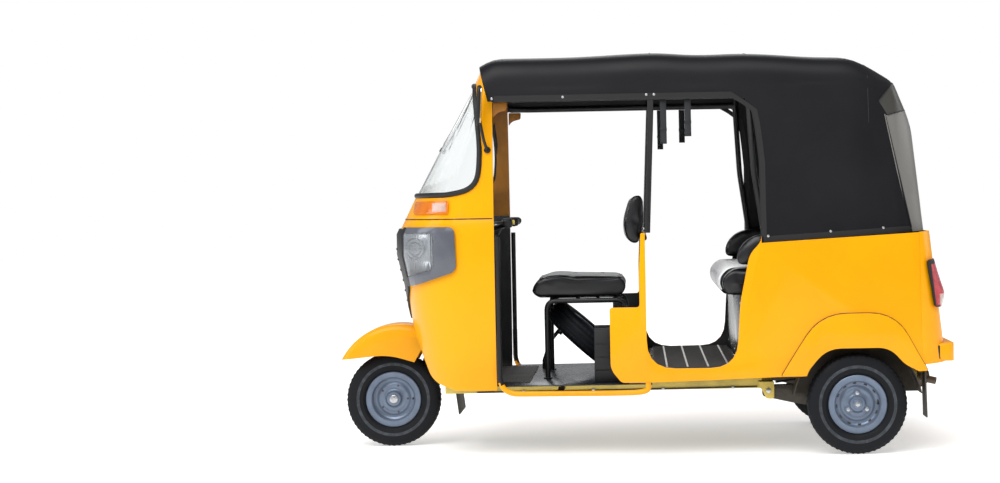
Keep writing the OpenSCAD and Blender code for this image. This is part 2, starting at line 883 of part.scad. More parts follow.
module seat_box() {
    w = body_half_width - panel_wall - seat_gap;
    color("#33353A") {
        union() {
            box([rear_axle + 470, -w, cabin_floor - 4 + seat_gap],
                [rear_axle + 478, w, bench_low + 8 - seat_gap]);
            box([rear_axle + 69, -w, bench_low], [rear_axle + 478, w, bench_low + 8 - seat_gap]);
            box([rear_axle + 69, -w + 20, bench_low], [rear_axle + 77, w - 20, 955]);
            box([rear_axle - 290, -w + 60, 804], [rear_axle + 77, w - 60, 812]);
        }
    }
}

// ---------- Engine and rear suspension ----------

module engine() {
    color("#6E7073")
        box([rear_axle - 240, -engine_half, 190], [rear_axle + 150, engine_half, 560]);
}

arm_y0 = half_track - tyre_half_width - 62;
arm_y1 = half_track - tyre_half_width - 18;
shaft_radius = 20;
stub_radius = 18;                  // hole in the rear hubs

module trailing_arms() {
    color(soft_black)
        both_sides()
            difference() {
                union() {
                    side_plate(outline([
                        [arm_pivot[0] + 24, arm_pivot[2] - 24, 10],
                        [arm_pivot[0] + 24, arm_pivot[2] + 22, 10],
                        [rear_axle + 120, 286, 20], [rear_axle - 30, tyre_radius + 52, 20],
                        [rear_axle - 52, tyre_radius, 20], [rear_axle - 30, tyre_radius - 42, 20],
                        [rear_axle + 240, 204, 40]
                    ]), arm_y0, arm_y1);
                    cross_bar(rear_axle, tyre_radius, 52, arm_y0 - 12, arm_y1);
                    // Seat of the shock absorber
                    box([rear_axle + 60, arm_y0 + 2, 262], [rear_axle + 110, arm_y1 - 2, 300]);
                }
                cross_bar(rear_axle, tyre_radius, shaft_radius + bearing_gap, 0, 1000);
                cross_bar(arm_pivot[0], arm_pivot[2], 9 + bearing_gap, 0, 1000);
            }
}

module rear_shocks() {
    mid = (arm_y0 + arm_y1) / 2;
    color("#9A2A22")
        both_sides() {
            translate([rear_axle + 85, mid, 300 + seat_gap])
                cylinder(h = 110, r = 14, $fn = 48);
            translate([rear_axle + 85, mid, 345])
                cylinder(h = bench_low - 345 - seat_gap, r = 21, $fn = 48);
        }
}

module drive_shaft() {
    color("#3B3C3E")
        union() {
            cross_bar(rear_axle, tyre_radius, shaft_radius, arm_y0 - 40, arm_y1 + 9);
            cross_bar(rear_axle, tyre_radius, stub_radius - seat_gap, arm_y1, half_track - 20 - seat_gap);
            cross_bar(rear_axle, tyre_radius, 14, engine_half + seat_gap, arm_y0 - 30);
            cross_bar(rear_axle, tyre_radius, 32, engine_half + 8, engine_half + 70);
            cross_bar(rear_axle, tyre_radius, 32, arm_y0 - 100, arm_y0 - 40);
        }
}

module drive_shaft_left() {
    drive_shaft();
}

module drive_shaft_right() {
    mirror([0, 1, 0])
        drive_shaft();
}

module silencer() {
    color("#3F4042") {
        cross_bar(rear_axle - 308, 285, 48, -260, 210);
        tube(path([
            [rear_axle - 308, 180, 285], [rear_axle - 308, 300, 285], [rear_axle - 372, 300, 270]
        ], 40), 16, [0, 0, 1]);
        box([rear_axle - 318, -20, 325], [rear_axle - 262 - seat_gap, 20, 338]);
    }
}

module mud_flaps() {
    color(soft_black) {
        both_sides()
            side_plate([
                [rear_axle - 284, 420], [rear_axle - 278, 420],
                [rear_axle - 282, 149], [rear_axle - 288, 149]
            ], half_track - 52, body_half_width - panel_wall - 2.2);
        side_plate([
            [bulkhead_x - 8, floor_height - 45 - seat_gap], [bulkhead_x - 2, floor_height - 45 - seat_gap],
            [bulkhead_x - 16, 147], [bulkhead_x - 22, 147]
        ], -150, 150);
    }
}

// ---------- Wheels ----------

tyre_section = outline([
    [bead_radius, -36, 0], [flange_radius + 3, -36, 4], [150, -tyre_half_width, 20],
    [tyre_radius - 26, -tyre_half_width + 2, 14], [tyre_radius, -34, 12],
    [tyre_radius, 34, 12], [tyre_radius - 26, tyre_half_width - 2, 14],
    [150, tyre_half_width, 20], [flange_radius + 3, 36, 4], [bead_radius, 36, 0]
], 4);

// Turns a section about the wheel's axis, with its outer face to the left
module wheel_turned() {
    rotate([-90, 0, 0])
        rotate_extrude($fn = 128)
            children();
}

module tyre() {
    color("#1D1D1F")
        wheel_turned()
            polygon(tyre_section);
}

hub_radius = 36;

// Pressed steel rim with its drum. bore is the radius of the axle hole, open to the right.
module rim(bore, depth) {
    seat = bead_radius - seat_gap;
    in_flange = 36 + seat_gap;
    color(rim_silver)
        difference() {
            wheel_turned()
                polygon([
                    [0, -30], [hub_radius + 30, -30], [hub_radius + 30, 0], [80, 4], [seat - 6, 12],
                    [seat - 6, -in_flange - 4], [flange_radius, -in_flange - 4],
                    [flange_radius, -in_flange], [seat, -in_flange], [seat, in_flange],
                    [flange_radius, in_flange], [flange_radius, in_flange + 4],
                    [seat - 6, in_flange + 4], [seat - 6, 16], [78, 10], [62, 16], [hub_radius + 4, 14],
                    [hub_radius, 20], [hub_radius - 4, 28], [0, 30]
                ]);
            translate([0, -60, 0])
                rotate([-90, 0, 0])
                    cylinder(h = 60 + depth, r = bore, $fn = 48);
        }
}

module rear_tyre_left() {
    translate([rear_axle, half_track, tyre_radius])
        tyre();
}

module rear_tyre_right() {
    translate([rear_axle, -half_track, tyre_radius])
        tyre();
}

module rear_rim_left() {
    translate([rear_axle, half_track, tyre_radius])
        rim(stub_radius, -20);
}

module rear_rim_right() {
    translate([rear_axle, -half_track, tyre_radius])
        mirror([0, 1, 0])
            rim(stub_radius, -20);
}

module front_tyre() {
    translate([front_axle, 0, tyre_radius])
        tyre();
}

spindle = 12;

module front_rim() {
    translate([front_axle, 0, tyre_radius])
        rim(spindle + bearing_gap, 10);
}

spare_lean = 42;

module spare_wheel() {
    drop = max([for (p = tyre_section) p[0] * sin(spare_lean) + p[1] * cos(spare_lean)]);
    color("#1D1D1F")
        translate([post_x + 262, 0, floor_height + 4 + seat_gap + drop])
            rotate([0, -spare_lean, 0])
                rotate_extrude($fn = 128)
                    polygon(concat(tyre_section,
                        [[bead_radius, 12], [40, 8], [40, -8], [bead_radius, -12]]));
}

// ---------- Steering ----------

guard_half = 110;
guard_radius = 290;
guard_wall = 3;
guard_centre = [front_axle + front_overhang - 255.5, 254];
function on_guard(a) = guard_centre + (guard_radius - guard_wall - seat_gap) * [cos(a), sin(a)];
leg_in = -tyre_half_width - 6;
leg_out = leg_in - 21;
link_out = leg_out - 19;
eye_in = leg_in - 6;
link_pivot = [front_axle - 110, 220];
shock_low = [front_axle - 34, 248];
shock_high = [front_axle - 120, 466];
shock_pin = 7;

module steering_column() {
    color("#3A3B3E")
        union() {
            along_axis(500)
                cylinder(h = 555, r = stem_radius, $fn = 64);
            along_axis(490)
                cylinder(h = head_low - 5 - 490, r = stem_radius + 14, $fn = 64);
            // Arm over the tyre, and the leg beside the wheel
            side_plate([
                on_axis_side(530) + [-14, 0], on_axis_side(490) + [-26, 0],
                on_axis_side(490) + [40, 6], on_axis_side(530) + [26, 6]
            ], leg_out, 10);
            side_plate(outline([
                concat(on_axis_side(530) + [-14, 0], 8), concat(on_axis_side(490) + [-26, 0], 8),
                [link_pivot[0] - 24, link_pivot[1] + 30, 20], [link_pivot[0] - 14, link_pivot[1] - 22, 14],
                [link_pivot[0] + 20, link_pivot[1] - 10, 14], [link_pivot[0] + 26, link_pivot[1] + 60, 20],
                concat(on_axis_side(490) + [40, 6], 8), concat(on_axis_side(530) + [26, 6], 8)
            ]), leg_out, leg_in);
            // Bracket under the mudguard
            side_plate([
                on_axis_side(530) + [20, 0], on_guard(119), on_guard(113), on_axis_side(490) + [38, 4]
            ], -20, 20);
            // Ear and pin for the head of the shock absorber
            side_plate(outline([
                [shock_high[0] - 60, shock_high[1] - 24, 0], [shock_high[0] + 16, shock_high[1] - 16, 14],
                [shock_high[0] + 16, shock_high[1] + 16, 14], [shock_high[0] - 66, shock_high[1] + 16, 0]
            ]), leg_out - 12, leg_out);
            cross_bar(shock_high[0], shock_high[1], shock_pin, leg_out - 12, eye_in);
        }
}

module leading_link() {
    color("#3A3B3E")
        union() {
            side_plate(outline([
                [link_pivot[0] - 22, link_pivot[1] + 18, 12], [link_pivot[0] - 22, link_pivot[1] - 18, 12],
                [front_axle + 30, tyre_radius - 28, 20], [front_axle + 30, tyre_radius + 26, 20],
                [shock_low[0] + 20, shock_low[1] + 16, 12], [shock_low[0] - 20, shock_low[1] + 16, 12]
            ]), link_out, leg_out - seat_gap);
            cross_bar(shock_low[0], shock_low[1], shock_pin, link_out + 2, eye_in);
            cross_bar(front_axle, tyre_radius, 30, link_out, -36);
            cross_bar(front_axle, tyre_radius, spindle, -50, 4);
        }
}

module front_shock() {
    y = (leg_out + eye_in) / 2;
    low = [shock_low[0], y, shock_low[1]];
    high = [shock_high[0], y, shock_high[1]];
    color("#9A2A22")
        difference() {
            union() {
                tube([low, low + 0.5 * (high - low)], 6, [0, 1, 0], 12);
                tube([low + 0.25 * (high - low), low + 0.84 * (high - low)], 12, [0, 1, 0], 16);
                tube([low + 0.8 * (high - low), high], 6, [0, 1, 0], 12);
                for (p = [shock_low, shock_high])
                    cross_bar(p[0], p[1], 14, leg_out + seat_gap, eye_in);
            }
            for (p = [shock_low, shock_high])
                cross_bar(p[0], p[1], shock_pin + seat_gap, leg_out - 50, eye_in + 50);
        }
}

module front_mudguard() {
    t = guard_wall;
    outer = outline([
        [90, guard_half, 0], [guard_radius, guard_half, 44], [guard_radius, -guard_half, 44],
        [90, -guard_half, 0]
    ], 6);
    inner = outline([
        [80, guard_half - t, 0], [guard_radius - t, guard_half - t, 42],
        [guard_radius - t, -guard_half + t, 42], [80, -guard_half + t, 0]
    ], 6);
    color(body_yellow)
        difference() {
            translate([guard_centre[0], 0, guard_centre[1]])
                rotate([90, 0, 0])
                    rotate_extrude(angle = 120, $fn = 160)
                        difference() {
                            polygon(outer);
                            polygon(inner);
                        }
            side_plate(outline([
                [front_axle + 400, 374.6, 0], [front_axle + 11, 411, 60], [front_axle - 165, 357, 10],
                [front_axle - 300, 357, 0], [front_axle - 300, 100, 0], [front_axle + 400, 100, 0]
            ]), -500, 500);
        }
}

module handlebar() {
    top = on_axis(1055 + seat_gap);
    grip = bar_half_width;
    color("#232427")
        union() {
            tube(path([
                [top[0] - 94, grip, top[2] + 45], [top[0] - 84, 230, top[2] + 42],
                [top[0] - 8, 90, top[2] + 16], [top[0] - 8, -90, top[2] + 16],
                [top[0] - 84, -230, top[2] + 42], [top[0] - 94, -grip, top[2] + 45]
            ], 50), 15, [0, 0, 1], 12);
            along_axis(1055 + seat_gap)
                cylinder(h = 34, r = 34, $fn = 48);
        }
}

// ---------- Small equipment ----------

module battery_box() {
    color(soft_black)
        box([post_x + 100, seat_half + 22, floor_height + 4 + seat_gap],
            [post_x + 222, seat_half + 230, 575]);
}

module mirrors() {
    y = shield_half_width - level_at(1296, 2) - 0.4;
    color(soft_black)
        both_sides() {
            tube([
                [front_axle - 474, y, 1296], [front_axle - 474, y + 16, 1296],
                [front_axle - 460, y + 34, 1340], [front_axle - 443, y + 44, 1420]
            ], 5, [1, 0, 0], 8);
            side_plate(outline([
                [front_axle - 452, 1389, 0], [front_axle - 436, 1389, 0],
                [front_axle - 430, 1566, 0], [front_axle - 450, 1566, 0]
            ]), y + 2, y + 104);
        }
}

module pedals() {
    color("#2C2D2F") {
        tube([
            [bulkhead_x - 4 - seat_gap, -150, 420], [bulkhead_x - 24, -150, 420],
            [bulkhead_x - 62, -150, 402]],
            8, [0, 1, 0], 8);
        box([bulkhead_x - 70, -185, 370], [bulkhead_x - 58, -115, 430]);
        tube([
            [post_x + 470, -300, floor_height + 4 + seat_gap], [post_x + 470, -300, floor_height + 40],
            [post_x + 440, -300, 430], [post_x + 380, -300, 500]
        ], 9, [0, 1, 0], 8);
    }
}

module grab_straps() {
    y = side_y(rail_height) - bow_inset;
    color(soft_black)
        for (s = [[rear_axle + 786, 190], [rear_axle + 683, 160]])
            box([s[0] - 14, y - 2, rail_height - bow_radius - s[1]],
                [s[0] + 14, y + 2, rail_height - bow_radius - seat_gap]);
}

chassis();
floor_pan();
lower_shield();
upper_shield();
windscreen();
front_mask();
headlamp_housings();
headlamp_lenses();
indicators();
dashboard();
step_rails();
side_panel_left();
side_panel_right();
rear_panel();
engine_door();
wheel_flares();
wheel_housings();
bumper();
tail_lamps();
hood();
rear_window();
roof_frame();
driver_seat();
driver_seat_frame();
driver_backrest();
passenger_seat();
passenger_backrest();
armrests();
seat_box();
engine();
trailing_arms();
rear_shocks();
silencer();
mud_flaps();
spare_wheel();
battery_box();
mirrors();
wiper();
pedals();
grab_straps();
handlebar();
steering_column();
leading_link();
front_shock();
front_mudguard();
front_tyre();
front_rim();
rear_tyre_left();
rear_rim_left();
rear_tyre_right();
rear_rim_right();
drive_shaft_left();
drive_shaft_right();
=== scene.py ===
import math

import bpy
from mathutils import Matrix, Vector, noise
from mathutils.bvhtree import BVHTree


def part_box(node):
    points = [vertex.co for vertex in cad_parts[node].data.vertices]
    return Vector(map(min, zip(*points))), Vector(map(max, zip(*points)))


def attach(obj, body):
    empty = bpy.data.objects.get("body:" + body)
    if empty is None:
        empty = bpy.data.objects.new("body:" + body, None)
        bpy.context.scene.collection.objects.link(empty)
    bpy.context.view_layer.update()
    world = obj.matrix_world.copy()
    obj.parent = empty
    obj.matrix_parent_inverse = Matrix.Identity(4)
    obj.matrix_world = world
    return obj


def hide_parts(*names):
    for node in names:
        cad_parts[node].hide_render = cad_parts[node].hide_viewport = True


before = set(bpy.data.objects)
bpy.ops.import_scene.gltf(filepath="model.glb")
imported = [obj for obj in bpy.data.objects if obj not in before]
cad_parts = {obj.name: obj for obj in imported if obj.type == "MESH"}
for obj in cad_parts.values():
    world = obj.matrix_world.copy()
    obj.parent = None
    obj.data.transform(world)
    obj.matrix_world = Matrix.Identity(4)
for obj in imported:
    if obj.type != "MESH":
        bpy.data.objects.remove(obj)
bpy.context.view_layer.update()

left, up, forward = Vector((0, 1, 0)), Vector((0, 0, 1)), Vector((1, 0, 0))

# Places that many pieces share, all from the frame
def middle(node):
    low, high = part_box(node)
    return (low + high) / 2


frontHub = middle("front_rim")
rearHub = middle("rear_rim_left")
tyreRadius = (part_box("front_tyre")[1].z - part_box("front_tyre")[0].z) / 2
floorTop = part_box("floor_pan")[0].z + 0.004
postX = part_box("driver_backrest")[0].x - 0.002
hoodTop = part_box("hood")[1].z
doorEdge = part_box("lower_shield")[0].x
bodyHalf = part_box("rear_panel")[1].y


# ---- Handwork ----
def deselectAll():
    if bpy.context.mode != "OBJECT":
        bpy.ops.object.mode_set(mode="OBJECT")
    bpy.ops.object.select_all(action="DESELECT")


def useOnly(piece):
    deselectAll()
    piece.select_set(True)
    bpy.context.view_layer.objects.active = piece


def editAll(piece):
    useOnly(piece)
    bpy.ops.object.mode_set(mode="EDIT")
    bpy.ops.mesh.select_all(action="SELECT")


def applyPlace(piece):
    useOnly(piece)
    bpy.ops.object.transform_apply(location=True, rotation=True, scale=True)
    return piece


def modify(piece, kind, **settings):
    useOnly(piece)
    modifier = piece.modifiers.new(kind.title(), kind)
    for key, value in settings.items():
        setattr(modifier, key, value)
    bpy.ops.object.modifier_apply(modifier=modifier.name)
    return piece


def softenEdges(piece, width, segments=2, angle=32):
    return modify(piece, "BEVEL", width=width, segments=segments, limit_method="ANGLE",
                  angle_limit=math.radians(angle), harden_normals=False)


def joined(name, parts):
    deselectAll()
    for part in parts:
        part.select_set(True)
    bpy.context.view_layer.objects.active = parts[0]
    if len(parts) > 1:
        bpy.ops.object.join()
    parts[0].name = name
    return parts[0]


# An object in the scene, made from a mesh or from bare points and faces
def pieceOf(name, mesh):
    piece = bpy.data.objects.new(name, mesh)
    bpy.context.scene.collection.objects.link(piece)
    return piece


def fromPoints(name, points, faces):
    mesh = bpy.data.meshes.new(name)
    mesh.from_pydata(points, [], faces)
    return pieceOf(name, mesh)


# A thin band between two edges with as many points each
def bandBetween(name, edge, other, thickness, closed=False):
    n = len(edge)
    faces = [(i, (i + 1) % n, n + (i + 1) % n, n + i) for i in range(n if closed else n - 1)]
    return modify(fromPoints(name, edge + other, faces), "SOLIDIFY", thickness=thickness, offset=0)


def turnBy(piece, angle, axis, centre):
    editAll(piece)
    bpy.ops.transform.rotate(value=angle, orient_axis=axis, center_override=centre)
    bpy.ops.object.mode_set(mode="OBJECT")
    return piece


def paint(piece, material):
    piece.data.materials.clear()
    piece.data.materials.append(material)
    return piece


def finishPiece(piece, stands=(), material=None, smooth=35, body="body"):
    applyPlace(piece)
    if smooth:
        bpy.ops.object.shade_smooth_by_angle(angle=math.radians(smooth))
    if material:
        paint(piece, material)
    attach(piece, body)
    if stands:
        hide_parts(*stands)
    return piece


# A box between two corners with eased edges
def block(name, low, high, ease=0.002, segments=2):
    low, high = Vector(low), Vector(high)
    deselectAll()
    bpy.ops.mesh.primitive_cube_add(size=1, location=(low + high) / 2, scale=high - low)
    piece = applyPlace(bpy.context.active_object)
    piece.name = name
    if ease:
        editAll(piece)
        bpy.ops.mesh.bevel(offset=ease, segments=segments, affect="EDGES", clamp_overlap=True)
        bpy.ops.object.mode_set(mode="OBJECT")
    return piece


# A round bar or disc about a line, with eased rims
def roundBar(name, start, end, radius, sides=32, ease=0.0, radius2=None):
    start, end = Vector(start), Vector(end)
    line = end - start
    turn = line.to_track_quat("Z", "Y").to_euler()
    deselectAll()
    bpy.ops.mesh.primitive_cone_add(vertices=sides, radius1=radius, depth=line.length,
                                    radius2=radius if radius2 is None else radius2,
                                    location=(start + end) / 2, rotation=turn)
    piece = applyPlace(bpy.context.active_object)
    piece.name = name
    if ease:
        softenEdges(piece, ease, 2, 50)
    return piece


# A vertex drawn out along a line of points, and filled if it is a closed outline
def drawn(name, points, closed=False):
    points = [Vector(p) for p in points]
    deselectAll()
    bpy.ops.mesh.primitive_plane_add(size=0.01, location=(0, 0, 0))
    piece = bpy.context.active_object
    piece.name = name
    bpy.ops.object.mode_set(mode="EDIT")
    bpy.ops.mesh.merge(type="CENTER")
    bpy.ops.transform.translate(value=points[0])
    for a, b in zip(points, points[1:]):
        bpy.ops.mesh.extrude_region_move(TRANSFORM_OT_translate={"value": b - a})
    if closed:
        bpy.ops.mesh.select_all(action="SELECT")
        bpy.ops.mesh.edge_face_add()
    bpy.ops.object.mode_set(mode="OBJECT")
    return piece


# A plate with that outline, drawn out by a vector
def plate(name, points, thickness, ease=0.0, segments=2):
    piece = drawn(name, points, closed=True)
    editAll(piece)
    bpy.ops.mesh.extrude_region_move(TRANSFORM_OT_translate={"value": Vector(thickness)})
    bpy.ops.mesh.select_all(action="SELECT")
    bpy.ops.mesh.normals_make_consistent(inside=False)
    bpy.ops.object.mode_set(mode="OBJECT")
    if ease:
        softenEdges(piece, ease, segments, 40)
    return piece


# A section turned about an axis
def turned(name, section, centre, axis=left, steps=96, angle=360):
    piece = drawn(name, section)
    editAll(piece)
    bpy.ops.mesh.spin(steps=steps, angle=math.radians(angle), center=centre, axis=axis)
    bpy.ops.mesh.select_all(action="SELECT")
    bpy.ops.mesh.remove_doubles(threshold=0.00005)
    bpy.ops.mesh.normals_make_consistent(inside=False)
    bpy.ops.object.mode_set(mode="OBJECT")
    return piece


# A tube along points, round corners included
def pipe(name, points, radius, closed=False, sides=4, bend=0.0):
    if bend:
        points = roundedPath(points, bend)
    piece = drawn(name, points)
    useOnly(piece)
    bpy.ops.object.convert(target="CURVE")
    piece = bpy.context.active_object
    piece.data.splines[0].use_cyclic_u = closed
    piece.data.bevel_depth = radius
    piece.data.bevel_resolution = sides
    piece.data.use_fill_caps = not closed
    bpy.ops.object.convert(target="MESH")
    piece = bpy.context.active_object
    piece.name = name
    return piece


# The points of a rounded corner at b, which starts and ends that far from b
def rounding(a, b, c, near, far, steps):
    start, end = b + (a - b).normalized() * near, b + (c - b).normalized() * far
    return [start * (1 - t) ** 2 + b * 2 * t * (1 - t) + end * t * t
            for t in (k / steps for k in range(steps + 1))]


def roundedPath(points, reach, steps=5):
    points = [Vector(p) for p in points]
    made = [points[0]]
    for a, b, c in zip(points, points[1:], points[2:]):
        near, far = (min(reach, (end - b).length * 0.45) for end in (a, c))
        made += rounding(a, b, c, near, far, steps)
    return made + [points[-1]]


# A closed outline in the plane of two directions, its corners rounded
def outline(corners, across, along, origin=(0, 0, 0), steps=4):
    flat = [Vector(origin) + across * c[0] + along * c[1] for c in corners]
    made = []
    for i, b in enumerate(flat):
        reach = corners[i][2] if len(corners[i]) > 2 else 0
        made += rounding(flat[i - 1], b, flat[(i + 1) % len(flat)], reach, reach, steps) if reach else [b]
    return made


def copied(piece, name, place=Matrix.Identity(4)):
    twin = pieceOf(name, piece.data.copy())
    twin.data.transform(place)
    return twin


def mirroredCopy(piece, name):
    twin = copied(piece, name, Matrix.Scale(-1, 4, left))
    editAll(twin)
    bpy.ops.mesh.flip_normals()
    bpy.ops.object.mode_set(mode="OBJECT")
    return twin


def bothSides(name, piece):
    return joined(name, [piece, mirroredCopy(piece, name + "Far")])


# A CAD piece's mesh as a new piece, cleaned so that its edges can be eased
def refined(node, name, ease=0.0015, flatness=0.4):
    piece = pieceOf(name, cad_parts[node].data.copy())
    editAll(piece)
    bpy.ops.mesh.remove_doubles(threshold=0.00003)
    bpy.ops.mesh.dissolve_limited(angle_limit=math.radians(flatness))
    bpy.ops.object.mode_set(mode="OBJECT")
    if ease:
        softenEdges(piece, ease)
    return piece


# A CAD piece with eased edges and one finish
def asBuilt(node, name, material, ease=0.0015, smooth=35, body="body"):
    return finishPiece(paint(refined(node, name, ease), material), [node], smooth=smooth, body=body)


def treeOf(piece):
    mesh = piece.data
    return BVHTree.FromPolygons([v.co for v in mesh.vertices], [f.vertices for f in mesh.polygons])


# The outermost point of some CAD pieces, seen from far outside towards a point
surfaces = {}


def outermost(nodes, towards, direction):
    direction = Vector(direction).normalized()
    start = Vector(towards) + direction * 4
    best = None
    for node in nodes:
        if node not in surfaces:
            surfaces[node] = treeOf(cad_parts[node])
        place, normal, _, far = surfaces[node].ray_cast(start, -direction)
        if place is not None and (best is None or far < best[2]):
            best = (place, normal, far)
    return best


# ---- Finishes ----
def srgb(colour):
    parts = [int(colour[i:i + 2], 16) / 255 for i in (1, 3, 5)]
    return (*[c / 12.92 if c <= 0.04045 else ((c + 0.055) / 1.055) ** 2.4 for c in parts], 1.0)


def addNode(tree, kind, settings=None, inputs=None):
    node = tree.nodes.new(kind)
    for key, value in (settings or {}).items():
        setattr(node, key, value)
    for key, value in (inputs or {}).items():
        if isinstance(value, bpy.types.NodeSocket):
            tree.links.new(value, node.inputs[key])
        else:
            node.inputs[key].default_value = value
    return node


# A surface with patches of a second colour, uneven gloss, a fine grain and, near the road, dust.
# All lengths are in millimetres. Depths are how far the grain stands up.
def makeFinish(name, colour, second, roughness, patch=180, share=(0.45, 0.75), grain="noise",
               grainSize=1.0, depth=0.02, stretch=(1, 1, 1), dust=None, shader=None):
    material = bpy.data.materials.new(name)
    material.use_nodes = True
    tree = material.node_tree
    surface = tree.nodes["Principled BSDF"]
    for key, value in (shader or {}).items():
        surface.inputs[key].default_value = value
    place = addNode(tree, "ShaderNodeTexCoord").outputs["Object"]
    patches = addNode(tree, "ShaderNodeTexNoise", inputs={
        "Vector": place, "Scale": 1000 / patch, "Detail": 6.0, "Roughness": 0.6})
    amount = addNode(tree, "ShaderNodeMapRange", inputs={
        "Value": patches.outputs["Fac"], "From Min": share[0], "From Max": share[1]})
    tint = addNode(tree, "ShaderNodeMix", {"data_type": "RGBA"}, {
        0: amount.outputs[0], 6: srgb(colour), 7: srgb(second)}).outputs[2]
    gloss = addNode(tree, "ShaderNodeMapRange", inputs={
        "Value": patches.outputs["Fac"], "From Min": 0.3, "From Max": 0.7,
        "To Min": roughness[0], "To Max": roughness[1]}).outputs[0]
    if dust:
        height = addNode(tree, "ShaderNodeSeparateXYZ", inputs={0: place}).outputs["Z"]
        low = addNode(tree, "ShaderNodeMapRange", inputs={
            "Value": height, "From Min": dust["from"], "From Max": dust["to"],
            "To Min": dust["most"], "To Max": 0.0}).outputs[0]
        dirt = addNode(tree, "ShaderNodeTexNoise", inputs={
            "Vector": place, "Scale": 22.0, "Detail": 8.0, "Roughness": 0.7})
        film = addNode(tree, "ShaderNodeMath", {"operation": "MULTIPLY"},
                       {0: low, 1: dirt.outputs["Fac"]}).outputs[0]
        tint = addNode(tree, "ShaderNodeMix", {"data_type": "RGBA"}, {
            0: film, 6: tint, 7: srgb(dust["colour"])}).outputs[2]
    tree.links.new(tint, surface.inputs["Base Color"])
    tree.links.new(gloss, surface.inputs["Roughness"])
    stretched = addNode(tree, "ShaderNodeMapping", inputs={"Vector": place, "Scale": stretch}).outputs[0]
    if grain == "noise":
        relief = addNode(tree, "ShaderNodeTexNoise", inputs={
            "Vector": stretched, "Scale": 1000 / grainSize, "Detail": 4.0}).outputs["Fac"]
    elif grain == "cells":
        relief = addNode(tree, "ShaderNodeTexVoronoi", {"feature": "DISTANCE_TO_EDGE"}, {
            "Vector": stretched, "Scale": 1000 / grainSize, "Randomness": 0.9}).outputs["Distance"]
    else:
        relief = addNode(tree, "ShaderNodeTexWave", {"bands_direction": grain}, {
            "Vector": stretched, "Scale": 100 * math.pi / grainSize, "Distortion": 0.0}).outputs["Fac"]
    bump = addNode(tree, "ShaderNodeBump", inputs={
        "Height": relief, "Strength": 1.0, "Distance": depth / 1000})
    tree.links.new(bump.outputs[0], surface.inputs["Normal"])
    return material


roadDust = {"from": 0.16, "to": 0.62, "most": 0.35, "colour": "#9A8D76"}
lightDust = {"from": 0.2, "to": 0.75, "most": 0.07, "colour": "#B3A486"}

# Two-pack enamel sprayed on pressed steel: deep warm yellow, slight orange peel under a clear gloss
bodyEnamel = makeFinish("bodyEnamel", "#F9AA00", "#F3A000", (0.30, 0.38), patch=650, grainSize=9, depth=0.010,
                        dust=lightDust, shader={"Coat Weight": 0.15, "Coat Roughness": 0.06,
                                                "Specular IOR Level": 0.15})
# The same enamel on faces inside the body, drawn browner as painted shade, and flatter
shadedInnerEnamel = makeFinish("shadedInnerEnamel", "#A5690A", "#5A3508", (0.45, 0.6), patch=320, grainSize=5, depth=0.02)
# Chassis paint: olive-yellow and matt, a painted shade standing for the body yellow under the body, with darker
# patches at random and road dust low down
shadedChassisPaint = makeFinish("shadedChassisPaint", "#F2D664", "#C2AE5C", (0.5, 0.75), patch=120, grainSize=4,
                          depth=0.05, dust=roadDust)
# Leather-grained vinyl hood cloth: charcoal, with a soft wide sheen
hoodVinyl = makeFinish("hoodVinyl", "#08080D", "#0E0E13", (0.42, 0.54), patch=420, grain="cells",
                       grainSize=5, depth=0.10, shader={"Specular IOR Level": 0.28})
# The hood's rear corners: the same black vinyl drawn grey and lighter, a painted reflection of the bright room
# at their grazing angle, and smoother
cornerReflectionVinyl = makeFinish("cornerReflectionVinyl", "#72706C", "#636159", (0.36, 0.5), patch=300, grain="cells",
                         grainSize=5, depth=0.06)
# The folded gusset above the corners: the same vinyl drawn a darker grey, a dimmer painted reflection
gussetReflectionVinyl = makeFinish("gussetReflectionVinyl", "#3A3935", "#45443F", (0.36, 0.5), patch=200, grain="cells",
                         grainSize=5, depth=0.08)
# Hem tape, folded vinyl: blacker than the hood
tapeVinyl = makeFinish("tapeVinyl", "#0F0F11", "#161618", (0.5, 0.62), patch=60, grainSize=1.6, depth=0.05)
# Clear flexible PVC of the rear window: faintly milky
clearVinyl = makeFinish("clearVinyl", "#DCE2E2", "#CED6D6", (0.12, 0.22), patch=200, grainSize=60, depth=0.6,
                        shader={"Transmission Weight": 0.85, "IOR": 1.53})
# Seat leathercloth: black, fine-grained, satin
seatVinyl = makeFinish("seatVinyl", "#0E0F12", "#16171A", (0.28, 0.40), patch=150, grain="cells",
                       grainSize=3.2, depth=0.10)
# The light panels of the bench: grey leathercloth, slightly shiny
greySeatVinyl = makeFinish("greySeatVinyl", "#F4F4F5", "#E4E4E6", (0.3, 0.42), patch=150, grain="cells",
                           grainSize=3.2, depth=0.10)
# Tyre rubber: blue-black, with dry grey scuffs
tyreRubber = makeFinish("tyreRubber", "#06090F", "#0C1119", (0.55, 0.72), patch=60, grainSize=3, depth=0.06,
                        dust={"from": 0.0, "to": 0.42, "most": 0.05, "colour": "#5E5B56"},
                        shader={"Specular IOR Level": 0.25})
# The ring of a sidewall that rubs kerbs: the same rubber worn grey
scuffedRubber = makeFinish("scuffedRubber", "#2C3036", "#4C5259", (0.7, 0.85), patch=26, grainSize=2, depth=0.1)
# Moulded EPDM seals, grips and mats: dull black
sealRubber = makeFinish("sealRubber", "#101113", "#18191B", (0.5, 0.62), patch=80, grainSize=2, depth=0.03)
matRubber = makeFinish("matRubber", "#403E3A", "#4C4945", (0.62, 0.8), patch=90, grainSize=2.5, depth=0.08)
# Bright strips of the floor mat: worn aluminium
matStrip = makeFinish("matStrip", "#C9C8C2", "#A5A39B", (0.35, 0.5), patch=60, grain="X", grainSize=1.2,
                      depth=0.02, shader={"Metallic": 0.8})
# Black powder coat on tubes: satin with a fine pimple
powderCoat = makeFinish("powderCoat", "#0C0C0E", "#131416", (0.36, 0.46), patch=120, grainSize=1.6, depth=0.035)
